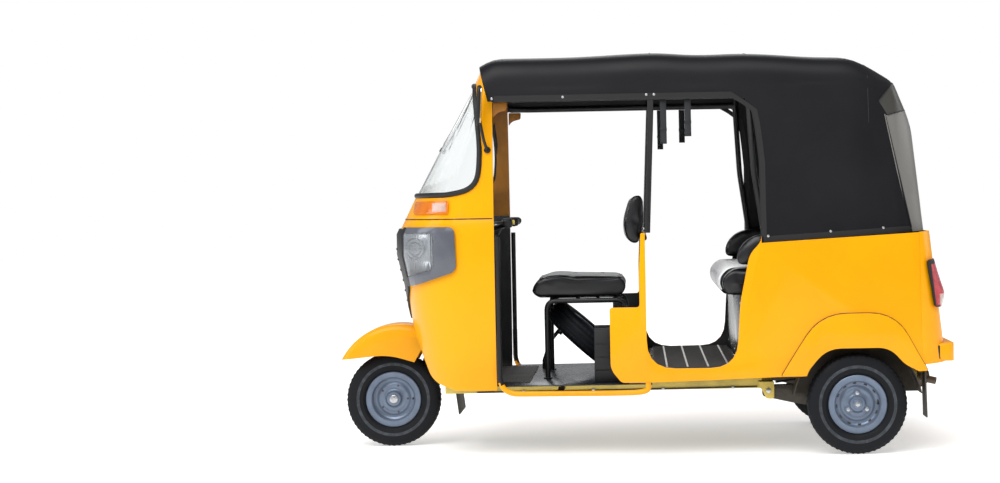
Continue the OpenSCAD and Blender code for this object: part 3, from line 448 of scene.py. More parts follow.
# Textured black ABS of mirrors, dashboard and mask
blackPlastic = makeFinish("blackPlastic", "#0E0F11", "#16171A", (0.42, 0.52), patch=160, grainSize=1.4,
                          depth=0.05)
# Smooth grey ABS of the lamp surrounds: graphite with a soft gloss
lampPlastic = makeFinish("lampPlastic", "#5F626B", "#4B4E57", (0.24, 0.32), patch=240, grainSize=4, depth=0.004,
                         shader={"Coat Weight": 0.5, "Coat Roughness": 0.12})
darkLampPlastic = makeFinish("darkLampPlastic", "#1C1D21", "#26272C", (0.26, 0.36), patch=200, grainSize=4,
                             depth=0.004, shader={"Coat Weight": 0.4, "Coat Roughness": 0.12})
# Rim enamel over pressed steel: cool silver-grey, satin, with brake dust
rimEnamel = makeFinish("rimEnamel", "#707E92", "#616D80", (0.3, 0.42), patch=70, grainSize=3, depth=0.015,
                       shader={"Metallic": 0.45}, dust={"from": 0.05, "to": 0.4, "most": 0.15,
                           "colour": "#5E594F"})
# Bright zinc plate on bolts and rods
zincPlate = makeFinish("zincPlate", "#C9CACC", "#A8A9AC", (0.25, 0.4), patch=14, grainSize=1.5, depth=0.01,
                       shader={"Metallic": 1.0})
# Chromium plate and vacuum-metallised reflectors
chromePlate = makeFinish("chromePlate", "#E4E6E8", "#D4D6DA", (0.06, 0.12), patch=40, grainSize=6, depth=0.002,
                         shader={"Metallic": 1.0})
# Sand-cast aluminium of the engine: grey, coarse
castAluminium = makeFinish("castAluminium", "#8C8E8F", "#6F7071", (0.45, 0.62), patch=60, grainSize=2,
                           depth=0.09, shader={"Metallic": 0.85}, dust=roadDust)
# Hot-worked mild steel of the silencer: brown-grey heat oxide
heatedSteel = makeFinish("heatedSteel", "#5B5148", "#7A5B43", (0.5, 0.7), patch=70, grainSize=2, depth=0.05,
                         shader={"Metallic": 0.7}, dust=roadDust)
# Chassis black on forged and welded steel: matt, dusty
blackSteel = makeFinish("blackSteel", "#0C0C0D", "#1A1816", (0.5, 0.68), patch=70, grainSize=2.4, depth=0.05,
                        dust=roadDust)
# Red enamel of the spring-damper units
shockEnamel = makeFinish("shockEnamel", "#9E2018", "#7F1A14", (0.3, 0.42), patch=60, grainSize=3, depth=0.01)
# Polyester webbing, woven at about 2 mm, drawn a little coarse to show
webbing = makeFinish("webbing", "#202225", "#2A2C30", (0.65, 0.8), patch=30, grain="Z", grainSize=2.6,
                     depth=0.25)
# Painted floor sheet: blue-grey gloss enamel
floorEnamel = makeFinish("floorEnamel", "#20232B", "#171920", (0.2, 0.32), patch=160, grainSize=6, depth=0.01)
# Instrument dial, white marks come as pieces
dialBlack = makeFinish("dialBlack", "#101113", "#16171A", (0.3, 0.4), patch=40, grainSize=2, depth=0.005)
dialWhite = makeFinish("dialWhite", "#E6E6E0", "#D8D8D2", (0.5, 0.6), patch=30, grainSize=2, depth=0.005)


# Toughened glass: clear, faintly green at its edges
glass = makeFinish("toughenedGlass", "#FAFCFC", "#F6FAF9", (0.0, 0.02), patch=900, grainSize=400, depth=0.001,
                   shader={"Transmission Weight": 1.0, "IOR": 1.08})
# Moulded lamp lenses: clear or dyed acrylic with fine vertical flutes
clearLens = makeFinish("clearLens", "#B4B8BC", "#A8ADB2", (0.06, 0.1), patch=200, grain="X", grainSize=9,
                       depth=0.35, shader={"Transmission Weight": 0.8, "IOR": 1.49})
amberLens = makeFinish("amberLens", "#FA8E04", "#EE7E03", (0.1, 0.18), patch=60, grain="Z", grainSize=6,
                       depth=0.4, shader={"Transmission Weight": 0.35, "IOR": 1.49, "Coat Weight": 0.6})
whiteLens = makeFinish("whiteLens", "#DDB9AC", "#D0A99A", (0.1, 0.18), patch=60, grain="Z", grainSize=6,
                       depth=0.4, shader={"Transmission Weight": 0.25, "IOR": 1.49, "Coat Weight": 0.6})
redLens = makeFinish("redLens", "#E01A34", "#C8142A", (0.1, 0.18), patch=60, grain="Z", grainSize=6,
                     depth=0.4, shader={"Transmission Weight": 0.35, "IOR": 1.49, "Coat Weight": 0.6})
print("finishes made")


# ---- Camera, floor and light ----
viewpoint = {
    "place": (0.005, 9.0, 1.104),   # at the height of the passengers' shoulders, square to the left side
    "lens": 72.6,
    "roll": -0.0189,
    "shift": (-0.135, -0.0485),
}
bpy.ops.object.camera_add(location=viewpoint["place"])
camera = bpy.context.active_object
camera.rotation_mode = "QUATERNION"
facing = Matrix(((-1, 0, 0), (0, 0, 1), (0, 1, 0))).to_quaternion()
camera.rotation_quaternion = facing @ Matrix.Rotation(viewpoint["roll"], 3, "Z").to_quaternion()
camera.data.lens = viewpoint["lens"]
camera.data.sensor_width = 36
camera.data.shift_x, camera.data.shift_y = viewpoint["shift"]
bpy.context.scene.camera = camera

deselectAll()
bpy.ops.mesh.primitive_plane_add(size=60, location=(0, 0, 0))
floor = bpy.context.active_object
floor.name = "floor"
paint(floor, makeFinish("studioFloor", "#F4F4F3", "#F1F1F0", (0.85, 0.9), patch=3000, grainSize=50, depth=0.01,
                        shader={"Emission Color": (1, 1, 1, 1), "Emission Strength": 0.42,
                                "Specular IOR Level": 0.1}))

studio = {
    # place, aim, size and power of each soft box
    "key": ((2.5, 6.0, 5.5), (0, 0, 0.8), 4.5, 170),
    "front": ((6.5, 2.0, 3.2), (0.6, 0, 0.9), 3.0, 85),
    "far": ((0.5, -6.5, 4.5), (0, 0, 0.8), 5.0, 110),
    "rear": ((-6.0, -1.0, 3.5), (0, 0, 0.8), 3.5, 85),
}
for name, (place, aim, size, power) in studio.items():
    bpy.ops.object.light_add(type="AREA", location=place)
    lamp = bpy.context.active_object
    lamp.name = name + "Light"
    lamp.data.size = size
    lamp.data.energy = power
    lamp.rotation_euler = (Vector(aim) - Vector(place)).to_track_quat("-Z", "Y").to_euler()
# A wide soft sun keeps the floor evenly bright up to the horizon
bpy.ops.object.light_add(type="SUN", location=(0, 0, 6))
sky = bpy.context.active_object
sky.data.energy, sky.data.angle = 1.75, math.radians(50)
sky.rotation_euler = Vector((-0.15, -0.62, -1)).to_track_quat("-Z", "Y").to_euler()
world = bpy.data.worlds.new("studioWorld")
bpy.context.scene.world = world
world.use_nodes = True
air = world.node_tree
soft = air.nodes["Background"]
soft.inputs[0].default_value, soft.inputs[1].default_value = (0.95, 0.97, 1.0, 1), 0.30
white = addNode(air, "ShaderNodeBackground", inputs={0: (1, 1, 1, 1), 1: 1.0})
# The lens and the panes see a white room, and everything else sees a dim one
path = addNode(air, "ShaderNodeLightPath").outputs
seen = addNode(air, "ShaderNodeMath", {"operation": "MAXIMUM"}, {
    0: path["Is Camera Ray"], 1: path["Is Transmission Ray"]})
mixture = addNode(air, "ShaderNodeMixShader", inputs={
    0: seen.outputs[0], 1: soft.outputs[0], 2: white.outputs[0]})
air.links.new(mixture.outputs[0], air.nodes["World Output"].inputs[0])
bpy.context.scene.view_settings.view_transform = "Standard"
print("studio ready")


# ---- Body shells ----
# Gives the faces that look towards a line inside the body a second finish
def lineInside(piece, centre, material, least=0.35, below=9.0):
    piece.data.materials.append(material)
    for face in piece.data.polygons:
        outwards = Vector((face.center.x - centre[0], face.center.y - centre[1], 0))
        if face.center.z < below and outwards.length and face.normal.dot(outwards.normalized()) < -least:
            face.material_index = len(piece.data.materials) - 1


shellCentre = (doorEdge - 0.02, 0.0)
tubCentre = (rearHub.x + 0.25, 0.0)
# Inner faces get a second finish: on the upper shield the enamel darkened as painted shade, elsewhere black
# plastic
for node, name, lining, centre in (
        ("lower_shield", "lowerShield", blackPlastic, shellCentre),
        ("upper_shield", "upperShield", shadedInnerEnamel, shellCentre),
        ("side_panel_left", "leftSidePanel", blackPlastic, tubCentre),
        ("side_panel_right", "rightSidePanel", blackPlastic, tubCentre),
        ("rear_panel", "rearPanel", blackPlastic, tubCentre)):
    shell = paint(refined(node, name), bodyEnamel)
    lineInside(shell, centre, lining)
    finishPiece(shell, [node])
print("body shells made")


# ---- Hood ----
hoodCut = {
    # from the rear hub, drop of the top, narrowing at the belt and at the shoulder
    "stations": [(1.562, 0.042, 0, 0), (1.512, 0.013, 0, 0), (1.240, 0.006, 0, 0), (0.814, 0, 0, 0),
                 (0.257, 0.015, 0, 0), (-0.010, 0.034, 0.002, 0), (-0.195, 0.132, 0.014, 0.012),
                 (-0.262, 0.236, 0.045, 0.045), (-0.285, 0.262, 0.064, 0.062), (-0.304, 0.310, 0.104, 0.100)],
    "wallLean": 0.040,
    "belt": 0.887, "beltRise": 0.038, "rail": 1.497, "shoulder": 0.09, "crown": 0.026,
    "shoulderHalf": 0.556, "hem": 0.024, "sideRows": 12, "pitch": 0.055,
    # the door opening's rear corner, where the rear facets start, and the height of the widest place
    "doorCorner": 0.44, "facetsFrom": -0.12, "widestZ": 0.847, "windowHem": 0.012,
    "supports": [1.556, 0.837, 0.43, -0.073, -0.304],
}


def hoodStation(place):
    rows = hoodCut["stations"]
    for a, b in zip(rows, rows[1:]):
        if b[0] <= place <= a[0]:
            t = (a[0] - place) / (a[0] - b[0])
            return [a[k] + (b[k] - a[k]) * t for k in range(4)]
    return list(rows[-1] if place < rows[-1][0] else rows[0])


def beltHeight(x):
    start, end = rearHub.x + 0.389, rearHub.x - 0.34
    return hoodCut["belt"] + hoodCut["beltRise"] * min(1, max(0, (start - x) / (start - end)))


# Front edge of the side curtain, leaning back from the door's corner to the belt
def curtainEdge(z):
    rail, belt = hoodCut["rail"], hoodCut["belt"]
    t = (rail - z) / (rail - belt)
    return rearHub.x + 0.430 - 0.041 * min(1, t * 2.2) ** 0.6 + 0.09 * max(0, 1 - t * 9) ** 2


# Top, half-width of the shoulder, and the straight side's half-width at a height
def hoodSection(place):
    _, drop, beltIn, shoulderIn = hoodStation(place)
    top = hoodTop - 0.001 - drop
    wide = bodyHalf - 0.0125 - beltIn
    narrow = hoodCut["shoulderHalf"] - 0.0005 - shoulderIn
    shoulderZ, widestZ = top - hoodCut["crown"] - hoodCut["shoulder"], hoodCut["widestZ"]
    return shoulderZ, narrow, lambda z: wide + (narrow - wide) * (z - widestZ) / (shoulderZ - widestZ)


def hoodSurface(x, z, side):
    sideAt = hoodSection(x - rearHub.x)[2]
    return Vector((x, side * (sideAt(z) + 0.0008), z))


def hoodRing(place):
    shoulderZ, narrow, sideAt = hoodSection(place)
    x = rearHub.x + place
    r, crown, railZ, corner = hoodCut["shoulder"], hoodCut["crown"], hoodCut["rail"], hoodCut["doorCorner"]
    overDoor = place > corner
    low = railZ if overDoor else beltHeight(x) + 0.0015
    ring = []
    rows = hoodCut["sideRows"]
    for k in range(rows + 4):
        if place < hoodCut["facetsFrom"]:
            z = low + (shoulderZ - low) * k / (rows + 4)
        elif k < rows:
            z = low if overDoor else low + (railZ - low) * k / rows
        else:
            z = railZ + (shoulderZ - railZ) * (k - rows) / 4
        shift = 0
        if not overDoor and z < railZ:
            shift = (curtainEdge(z) - rearHub.x - corner) * max(0, 1 - (corner - place) / 0.3)
        ring.append(Vector((x + shift, sideAt(z), z)))
    for k in range(6):
        a = math.radians(90 * k / 6)
        ring.append(Vector((x, narrow - r + r * math.cos(a), shoulderZ + r * math.sin(a))))
    for k in range(7):
        t = 1 - k / 6
        ring.append(Vector((x, (narrow - r) * t, shoulderZ + r + crown * (1 - t * t))))
    front = hoodCut["stations"][0][0]
    back = min(1, max(0, (-0.17 - place) / 0.12))
    for p in ring:
        p.x += hoodCut["wallLean"] * back * min(1, max(0, (p.z - 0.93) / 0.46))
        if place > front - 0.12:
            p.x -= max(0, 1.665 - p.z) * 0.25 * (1 - (front - place) / 0.12)
    return ring


def makeHood():
    places, at, corner = [], hoodCut["stations"][0][0], hoodCut["doorCorner"]
    while at > hoodCut["stations"][-1][0] + 0.02:
        places.append(at)
        at -= hoodCut["pitch"] if at > -0.06 else 0.028
        if places[-1] > corner > at:
            places.append(corner + 0.0001)
            at = corner - 0.0001
    places.append(hoodCut["stations"][-1][0])
    rings = [hoodRing(p) for p in places]
    rings = [ring + [Vector((p.x, -p.y, p.z)) for p in reversed(ring[:-1])] for ring in rings]
    wide = len(rings[0])
    rows = hoodCut["sideRows"]
    points, faces = [p for ring in rings for p in ring], []
    firstClosed = next(i for i, p in enumerate(places) if p <= corner)
    for i in range(len(rings) - 1):
        for k in range(wide - 1):
            isSide = k < rows or k >= wide - 1 - rows
            if isSide and i < firstClosed:
                continue
            a = i * wide + k
            faces.append((a, a + 1, a + wide + 1, a + wide))
    # Rear wall, in rows from one corner to the other
    last, across, half = (len(rings) - 1) * wide, 14, wide // 2
    wall = {}
    for k in range(half):
        a, b = points[last + k], points[last + wide - 1 - k]
        for m in range(across + 1):
            if m in (0, across):
                wall[k, m] = last + (k if m == 0 else wide - 1 - k)
            else:
                p = a.lerp(b, m / across)
                p.x -= 0.006 * math.sin(math.pi * m / across)
                wall[k, m] = len(points)
                points.append(p)
    for k in range(half - 1):
        for m in range(across):
            faces.append((wall[k, m], wall[k + 1, m], wall[k + 1, m + 1], wall[k, m + 1]))
    top = last + half
    for m in range(across):
        faces.append((wall[half - 1, m], top, wall[half - 1, m + 1]))
    cloth = fromPoints("hoodCloth", points, faces)
    editAll(cloth)
    bpy.ops.mesh.remove_doubles(threshold=0.0004)
    bpy.ops.mesh.normals_make_consistent(inside=False)
    bpy.ops.mesh.delete_loose()
    bpy.ops.object.mode_set(mode="OBJECT")
    modify(cloth, "SUBSURF", levels=1, render_levels=1, boundary_smooth="PRESERVE_CORNERS")
    supports = [rearHub.x + s for s in hoodCut["supports"]]
    for v in cloth.data.vertices:
        p = v.co
        # sags a little between the bows, and pulls into soft folds towards its corners
        for b, a in zip(supports, supports[1:]):
            if a < p.x < b and p.z > 1.55:
                v.co.z -= 0.007 * math.sin(math.pi * (p.x - a) / (b - a)) ** 2
        fold = noise.noise(Vector((p.x * 7 + p.z * 3, p.y * 2, p.z * 1.6)))
        fine = noise.noise(Vector((p.x * 16, p.y * 9, p.z * 10 + 4)))
        strength = 0.0022 * fold + 0.0007 * fine
        if p.z < 1.45 or p.x < supports[-1] + 0.3:
            v.co -= v.normal * max(-0.001, -strength - 0.0012)
    return cloth


hoodCloth = makeHood()
cornerPlace = rearHub.x - 0.135
# The corner panels, grey with painted reflection, and the folded gusset above them, with a dimmer painted
# reflection, are cut out along straight seams
seams = {
    "corner": ((cornerPlace, 0, 1.453), (1, 0, -0.208)),
    "gussetFoot": ((rearHub.x - 0.153, 0, 1.411), (0.26, 0, 1)),
    "gussetTop": ((rearHub.x - 0.118, 0, 1.471), (1, 0, 0.86)),
    "gussetSide": ((rearHub.x - 0.118, 0, 1.471), (1, 0, -0.583)),
    "left": ((0, 0.455, 0), (0, 1, 0)),
    "right": ((0, -0.455, 0), (0, 1, 0)),
}
for place, facing in seams.values():
    editAll(hoodCloth)
    bpy.ops.mesh.bisect(plane_co=place, plane_no=facing)
bpy.ops.object.mode_set(mode="OBJECT")
for vinyl in (hoodVinyl, cornerReflectionVinyl, gussetReflectionVinyl):
    hoodCloth.data.materials.append(vinyl)
for face in hoodCloth.data.polygons:
    past = {key: (face.center - Vector(place)).dot(Vector(facing)) for key, (place, facing) in seams.items()}
    if past["left"] < 0 < past["right"]:
        continue
    # Corner faces take the grey of painted reflection, gusset faces the darker, dimmer one
    if past["corner"] < 0 and past["gussetFoot"] < 0:
        face.material_index = 1
    elif past["gussetFoot"] >= 0 and past["gussetTop"] < 0 and past["gussetSide"] < 0:
        face.material_index = 2


hoodTree = treeOf(hoodCloth)
# The rear wall's opening: the cloth inside it becomes the clear pane
windowLow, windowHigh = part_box("rear_window")
windowInset = Vector((0, hoodCut["windowHem"], hoodCut["windowHem"]))
windowLow, windowHigh = windowLow + windowInset, windowHigh - windowInset
rearOnly = rearHub.x - 0.255
for corner, facing in ((windowLow, left), (windowHigh, left), (windowLow, up), (windowHigh, up)):
    editAll(hoodCloth)
    bpy.ops.mesh.select_all(action="DESELECT")
    bpy.ops.object.mode_set(mode="OBJECT")
    for face in hoodCloth.data.polygons:
        face.select = face.center.x < rearOnly and abs(face.center.y) < 0.5
    bpy.ops.object.mode_set(mode="EDIT")
    bpy.ops.mesh.bisect(plane_co=corner, plane_no=facing)
bpy.ops.mesh.select_all(action="DESELECT")
bpy.ops.object.mode_set(mode="OBJECT")
for face in hoodCloth.data.polygons:
    c = face.center
    face.select = c.x < rearOnly and windowLow.y < c.y < windowHigh.y and windowLow.z < c.z < windowHigh.z
bpy.ops.object.mode_set(mode="EDIT")
bpy.ops.mesh.separate(type="SELECTED")
bpy.ops.object.mode_set(mode="OBJECT")
pane = next(thing for thing in bpy.context.selected_objects if thing != hoodCloth)
deselectAll()


# Where a line from the side meets the cloth
def onHood(x, z, side):
    place, normal, _, _ = hoodTree.ray_cast(Vector((x, side * 2, z)), left * -side)
    return place + left * side * 0.0016


finishPiece(hoodCloth, ["hood"], smooth=50)


# A band of folded tape along an edge of the hood, with the welt that is sewn into it
def hemTape(name, edge, width, welt=0.0024, lift=0.0016):
    band = bandBetween(name, edge, [p + w for p, w in zip(edge, width)], lift * 2)
    softenEdges(band, 0.0007, 1)
    return joined(name, [paint(piece, tapeVinyl) for piece in (band, pipe(name + "Welt", edge, welt, sides=3))])


hemParts = []
hem = hoodCut["hem"]
rail, railStart, railEnd = hoodCut["rail"], doorEdge - 0.01, rearHub.x + 0.50
for side in (1, -1):
    along = [railStart + (railEnd - railStart) * k / 22 for k in range(23)]
    points = [hoodSurface(x, rail + 0.008, side) - up * 0.008 for x in along]
    corner = [Vector((curtainEdge(z), hoodSurface(curtainEdge(z) - 0.006, z, side).y, z))
              for z in [1.475, 1.44, 1.38, 1.30, 1.22, 1.14, 1.06, 0.98, 0.91]]
    hemParts.append(hemTape(f"hemSide{side}", points + corner,
                            [up * hem] * len(points) + [forward * -hem + up * 0.004] * len(corner)))
    beltLine, inward = [], []
    for k in range(25):
        x = rearHub.x + 0.380 - (0.380 + 0.235) * k / 24
        beltLine.append(hoodSurface(x, beltHeight(x) + 0.012, side) - up * 0.010)
        inward.append(up * hem)
    hemParts.append(hemTape(f"hemBelt{side}", beltLine, inward))
rearLine = []
for k in range(31):
    angle = math.radians(115 + 130 * k / 30)
    ray = (math.cos(angle), math.sin(angle), 0)
    hit = outermost(["hood"], (rearHub.x - 0.10, 0, hoodCut["belt"] + 0.05), ray)
    rearLine.append(hit[0] + hit[1] * 0.0012 - up * 0.012)
hemParts.append(hemTape("hemRear", rearLine, [up * hem] * len(rearLine)))
# Seams: over each bow, down the rear corners and along the gussets
def seamLine(name, points, radius=0.0022):
    return paint(pipe(name, points, radius, sides=2), tapeVinyl)


def overRoof(x, fromAngle, toAngle, n=26):
    made = []
    for k in range(n + 1):
        a = math.radians(fromAngle + (toAngle - fromAngle) * k / n)
        ray = Vector((0, math.cos(a), math.sin(a)))
        place = hoodTree.ray_cast(Vector((x, 0, 1.30)), ray)[0]
        if place:
            made.append(place)
    return made


for k, place in enumerate((0.837, 0.43, -0.073)):
    start = 42 if k < 2 else 8   # the front bows' seams stop at the shoulders
    hemParts.append(seamLine(f"bowSeam{k}", overRoof(rearHub.x + place, start, 180 - start)))
for side in (1, -1):
    heights = [0.94 + (1.415 - 0.94) * k / 14 for k in range(15)]
    corner = [onHood(cornerPlace - (1.453 - z) * 0.208, z, side) for z in heights]
    hemParts.append(seamLine(f"cornerSeam{side}", corner))
    # Just ahead of each corner seam, a strip of the grey vinyl that widens downwards: a painted highlight along
    # the fold
    foldHighlight = [p + forward * 0.009 * (1.50 - p.z) / 0.5 for p in corner]
    hemParts.append(paint(pipe(f"cornerFoldHighlight{side}", foldHighlight, 0.0026, sides=2), cornerReflectionVinyl))
    foldLine = [onHood(rearHub.x - 0.153 - 0.0105 * k, 1.411 + 0.0027 * k, side) for k in range(9)]
    hemParts.append(seamLine(f"gussetSeam{side}", foldLine))
    foldLine = [onHood(rearHub.x - 0.118 - 0.0086 * k, 1.471 + 0.010 * k, side) for k in range(7)]
    hemParts.append(seamLine(f"gussetFold{side}", foldLine))
hoodTrim = finishPiece(joined("hoodTrim", hemParts), smooth=40)


# Press studs: a domed cap in a shallow dish
def pressStud(name, place, facing, radius=0.0055):
    dome = roundBar(name, place - facing * 0.001, place + facing * 0.0022, radius, 20, 0.001)
    cap = roundBar(name + "Cap", place, place + facing * 0.0040, radius * 0.6, 16, 0.0012)
    return joined(name, [dome, cap])


studs = []
for side in (1, -1):
    for x, z in ((postX - 0.050, rail + 0.018), (postX - 0.018, rail + 0.018), (doorEdge - 0.002, rail + 0.012),
                 (0.30, rail + 0.014), (rearHub.x + 0.36, 0.915), (rearHub.x + 0.10, 0.93),
                 (rearHub.x - 0.12, 0.94)):
        at = hoodSurface(x, z, side)
        studs.append(pressStud("stud", at + left * 0.0012 * side, left * side))
pressStuds = finishPiece(joined("pressStuds", studs), material=zincPlate)

# Rear window: the clear sheet, with a folded border stitched round it on the cloth's outside
for vertex in pane.data.vertices:
    vertex.co.x += 0.0006
pane.data.materials.clear()
modify(pane, "SOLIDIFY", thickness=0.0008, offset=0)
ringRows = []
for out in (0.016, -0.008):
    corners = [(windowLow.y - out, windowLow.z - out), (windowHigh.y + out, windowLow.z - out),
               (windowHigh.y + out, windowHigh.z + out), (windowLow.y - out, windowHigh.z + out)]
    row = []
    for (y0, z0), (y1, z1) in zip(corners, corners[1:] + corners[:1]):
        for k in range(16):
            spot = Vector((-3, y0 + (y1 - y0) * k / 16, z0 + (z1 - z0) * k / 16))
            row.append(hoodTree.ray_cast(spot, forward)[0] - forward * 0.0022)
    ringRows.append(row)
borderTape = bandBetween("windowBorder", *ringRows, 0.003, closed=True)
rearWindow = joined("rearWindow", [paint(pane, clearVinyl), paint(borderTape, tapeVinyl)])
finishPiece(rearWindow, ["rear_window"])
print("hood made")


# ---- Glazing and front ----
def evened(loop, step):
    lengths = [(b - a).length for a, b in zip(loop, loop[1:] + loop[:1])]
    total, made, at, i = sum(lengths), [], 0.0, 0
    count = int(total / step)
    for k in range(count):
        want = total * k / count
        while at + lengths[i] < want:
            at += lengths[i]
            i += 1
        made.append(loop[i].lerp(loop[(i + 1) % len(loop)], (want - at) / max(lengths[i], 1e-9)))
    return made


asBuilt("windscreen", "windscreenGlass", glass, ease=0)


# The point of the shield at a place in the side view, found by turning a ray from straight ahead to the side
def roundShield(x, z):
    low, high, found = 0.0, math.radians(88), None
    for _ in range(14):
        angle = (low + high) / 2
        ray = (math.cos(angle), math.sin(angle), 0)
        # a ray may slip through the joint round the glass, so a second one runs just below it
        for height in (z, z - 0.004):
            hit = outermost(["windscreen", "upper_shield"], (shellCentre[0], 0, height), ray)
            if hit:
                break
        found = hit or found
        low, high = (angle, high) if hit and hit[0].x > x else (low, angle)
    return found[0] + found[1] * 0.0015


# Rubber seal round the windscreen's opening, from the scuttle up both pillars and under the header
opening = {"scuttle": 1.106, "header": 1.638}
sideLine = outline([(0.060, opening["scuttle"]), (-0.300, opening["scuttle"] + 0.004),
                    (-0.430, opening["scuttle"] + 0.028, 0.070), (-0.443, opening["scuttle"] + 0.200, 0.060),
                    (-0.418, opening["header"] - 0.062, 0.014), (0.060, opening["header"] - 0.078)],
                   forward, up, (frontHub.x, 0, 0), 6)
dense = [a.lerp(b, k / 16) for a, b in zip(sideLine, sideLine[1:]) for k in range(16)]
nearRim = [roundShield(p.x, p.z) for p in dense]
nearRim = [p for p in nearRim if p.y > 0.004]
rim = evened(nearRim + [Vector((p.x, -p.y, p.z)) for p in reversed(nearRim)], 0.018)
for _ in range(2):
    rim = [(rim[i - 1] + p * 2 + rim[(i + 1) % len(rim)]) / 4 for i, p in enumerate(rim)]
seal = pipe("screenSeal", rim, 0.0115, closed=True, sides=4)
finishPiece(seal, material=sealRubber, smooth=60)
print("windscreen made", len(rim))


# A surface line: points on the outside of CAD pieces, each lifted a little along its normal
def onSurface(nodes, places, direction, lift=0.0):
    made = []
    for place in places:
        hit = outermost(nodes, place, direction(place) if callable(direction) else direction)
        if hit:
            made.append(hit[0] + hit[1] * lift)
    return made


# Splits a piece along planes, so that a second finish can start on a clean line
def cutAlong(piece, *planes):
    for place, normal in planes:
        editAll(piece)
        bpy.ops.mesh.bisect(plane_co=place, plane_no=normal)
    bpy.ops.object.mode_set(mode="OBJECT")
    return piece


def repaint(piece, material, wanted):
    piece.data.materials.append(material)
    for face in piece.data.polygons:
        if wanted(face.center, face.normal):
            face.material_index = len(piece.data.materials) - 1


front = {
    "seam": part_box("upper_shield")[0].z, "maskRibs": (0.655, 0.700, 0.745, 0.790, 0.835, 0.880),
    "ribReach": 0.27,
    "bowls": (0.885, 0.825), "bowlRadius": 0.044, "amberEdge": frontHub.x - 0.226,
}
# Rubber strip in the joint of the two shields, from one door edge round to the other
strip, seamReach, seamSteps = [], 89.6, 60
for k in range(seamSteps + 1):
    a = math.radians(seamReach * (2 * k / seamSteps - 1))
    ray = (math.cos(a), math.sin(a), 0)
    hit = outermost(["lower_shield"], (doorEdge + 0.001, 0, front["seam"] - 0.001), ray)
    if hit:
        strip.append(hit[0] + up * 0.001)
finishPiece(pipe("shieldSeam", strip, 0.0022, sides=2), material=sealRubber, smooth=60)

mask = paint(refined("front_mask", "frontMask", ease=0.003), blackPlastic)
ribs = []
for z in front["maskRibs"]:
    reach = min(front["ribReach"], 0.20 + (z - 0.655) * 0.9)
    line = onSurface(["front_mask"], [Vector((frontHub.x - 0.1, reach * (k / 12 - 1), z)) for k in range(25)],
                     forward)
    ribs.append(paint(pipe("maskRib", line, 0.0045, sides=3), darkLampPlastic))
finishPiece(joined("frontMask", [mask] + ribs), ["front_mask"], smooth=50)

# Lamp surrounds with a dark forward edge, and lenses silvered behind
housing = paint(refined("headlamp_housings", "lampSurrounds", ease=0.0035), lampPlastic)
darkFrom, darkLean, lampMiddle = frontHub.x - 0.112, 0.12, 0.85
cutAlong(housing, ((darkFrom, 0, 0), (1, 0, -darkLean)))
repaint(housing, blackPlastic, lambda c, n: c.x - (c.z - lampMiddle) * darkLean > darkFrom)
finishPiece(housing, ["headlamp_housings"], smooth=50)
lens = paint(refined("headlamp_lenses", "lampLenses", ease=0.003), clearLens)
lineInside(lens, shellCentre, chromePlate, least=0.6)
finishPiece(lens, ["headlamp_lenses"], smooth=50)
rings = []
for side in (1, -1):
    for z in front["bowls"]:
        for radius in (front["bowlRadius"] * s for s in ((1.0, 0.62) if z > lampMiddle else (0.6, 0.36))):
            centre = Vector((frontHub.x - 0.150, 0.505 * side, z))
            line = []
            for k in range(28):
                a = 2 * math.pi * k / 28
                spot = centre + forward * math.cos(a) * radius + up * math.sin(a) * radius
                hit = outermost(["headlamp_lenses"], spot, left * side)
                if hit:
                    line.append(hit[0] - hit[1] * 0.005)
            if len(line) > 20:
                rings.append(pipe("bowlRing", line, 0.0016, closed=True, sides=2))
if rings:
    finishPiece(joined("lampBowls", rings), material=chromePlate, smooth=60)

# Indicators: amber ahead, clear behind, in a red-orange surround
indicator = paint(refined("indicators", "indicatorLenses", ease=0.0025), amberLens)
edge = front["amberEdge"]
indicatorLow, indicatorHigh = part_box("indicators")
clearBack, clearFront = indicatorLow.x + 0.010, edge - 0.008
clearLow, clearHigh = indicatorLow.z + 0.009, indicatorHigh.z - 0.009
cutAlong(indicator, *[((x, 0, 0), forward) for x in (edge, clearFront, clearBack)],
         *[((0, 0, z), up) for z in (clearHigh, clearLow)])
repaint(indicator, whiteLens, lambda c, n: clearBack < c.x < clearFront and clearLow < c.z < clearHigh)
finishPiece(indicator, ["indicators"], smooth=50)
print("lamps made")

# Dashboard with a speedometer pod, two lidded boxes and a switch panel
dash = {"face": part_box("dashboard")[0].x, "podRadius": 0.052, "podZ": 1.018}
board = paint(refined("dashboard", "dashBoard", ease=0.006), blackPlastic)
backward = -forward
podCentre, podRadius = Vector((dash["face"], 0, dash["podZ"])), dash["podRadius"]
parts = [board, paint(roundBar("pod", podCentre + forward * 0.02, podCentre + backward * 0.022, podRadius, 48,
                               0.004), blackPlastic)]
parts.append(paint(turned("podRim", [podCentre + backward * 0.022 + up * (podRadius - 0.002),
                                     podCentre + backward * 0.028 + up * (podRadius - 0.004),
                                     podCentre + backward * 0.028 + up * (podRadius - 0.009),
                                     podCentre + backward * 0.0215 + up * (podRadius - 0.010)],
                          podCentre, forward, 48), chromePlate))
dialFace = podCentre + backward * 0.0235
parts.append(paint(roundBar("dial", podCentre + backward * 0.02, dialFace, podRadius - 0.010, 48), dialBlack))
for k in range(13):   # marks round the dial, from lower left to lower right
    a = math.radians(225 - 22.5 * k)
    spot = dialFace + (left * -math.cos(a) + up * math.sin(a)) * 0.034
    mark = block("mark", spot - Vector((0.0007, 0.0007, 0.003)), spot + Vector((0.0003, 0.0007, 0.003)), 0)
    parts.append(paint(turnBy(mark, a - math.pi / 2, "X", spot), dialWhite))
pivot = dialFace + backward * 0.001
needle = plate("needle", [pivot + left * 0.002, pivot + left * -0.028 + up * 0.013,
                          pivot - left * 0.001 - up * 0.003],
               backward * 0.0008)
parts.append(paint(needle, redLens))
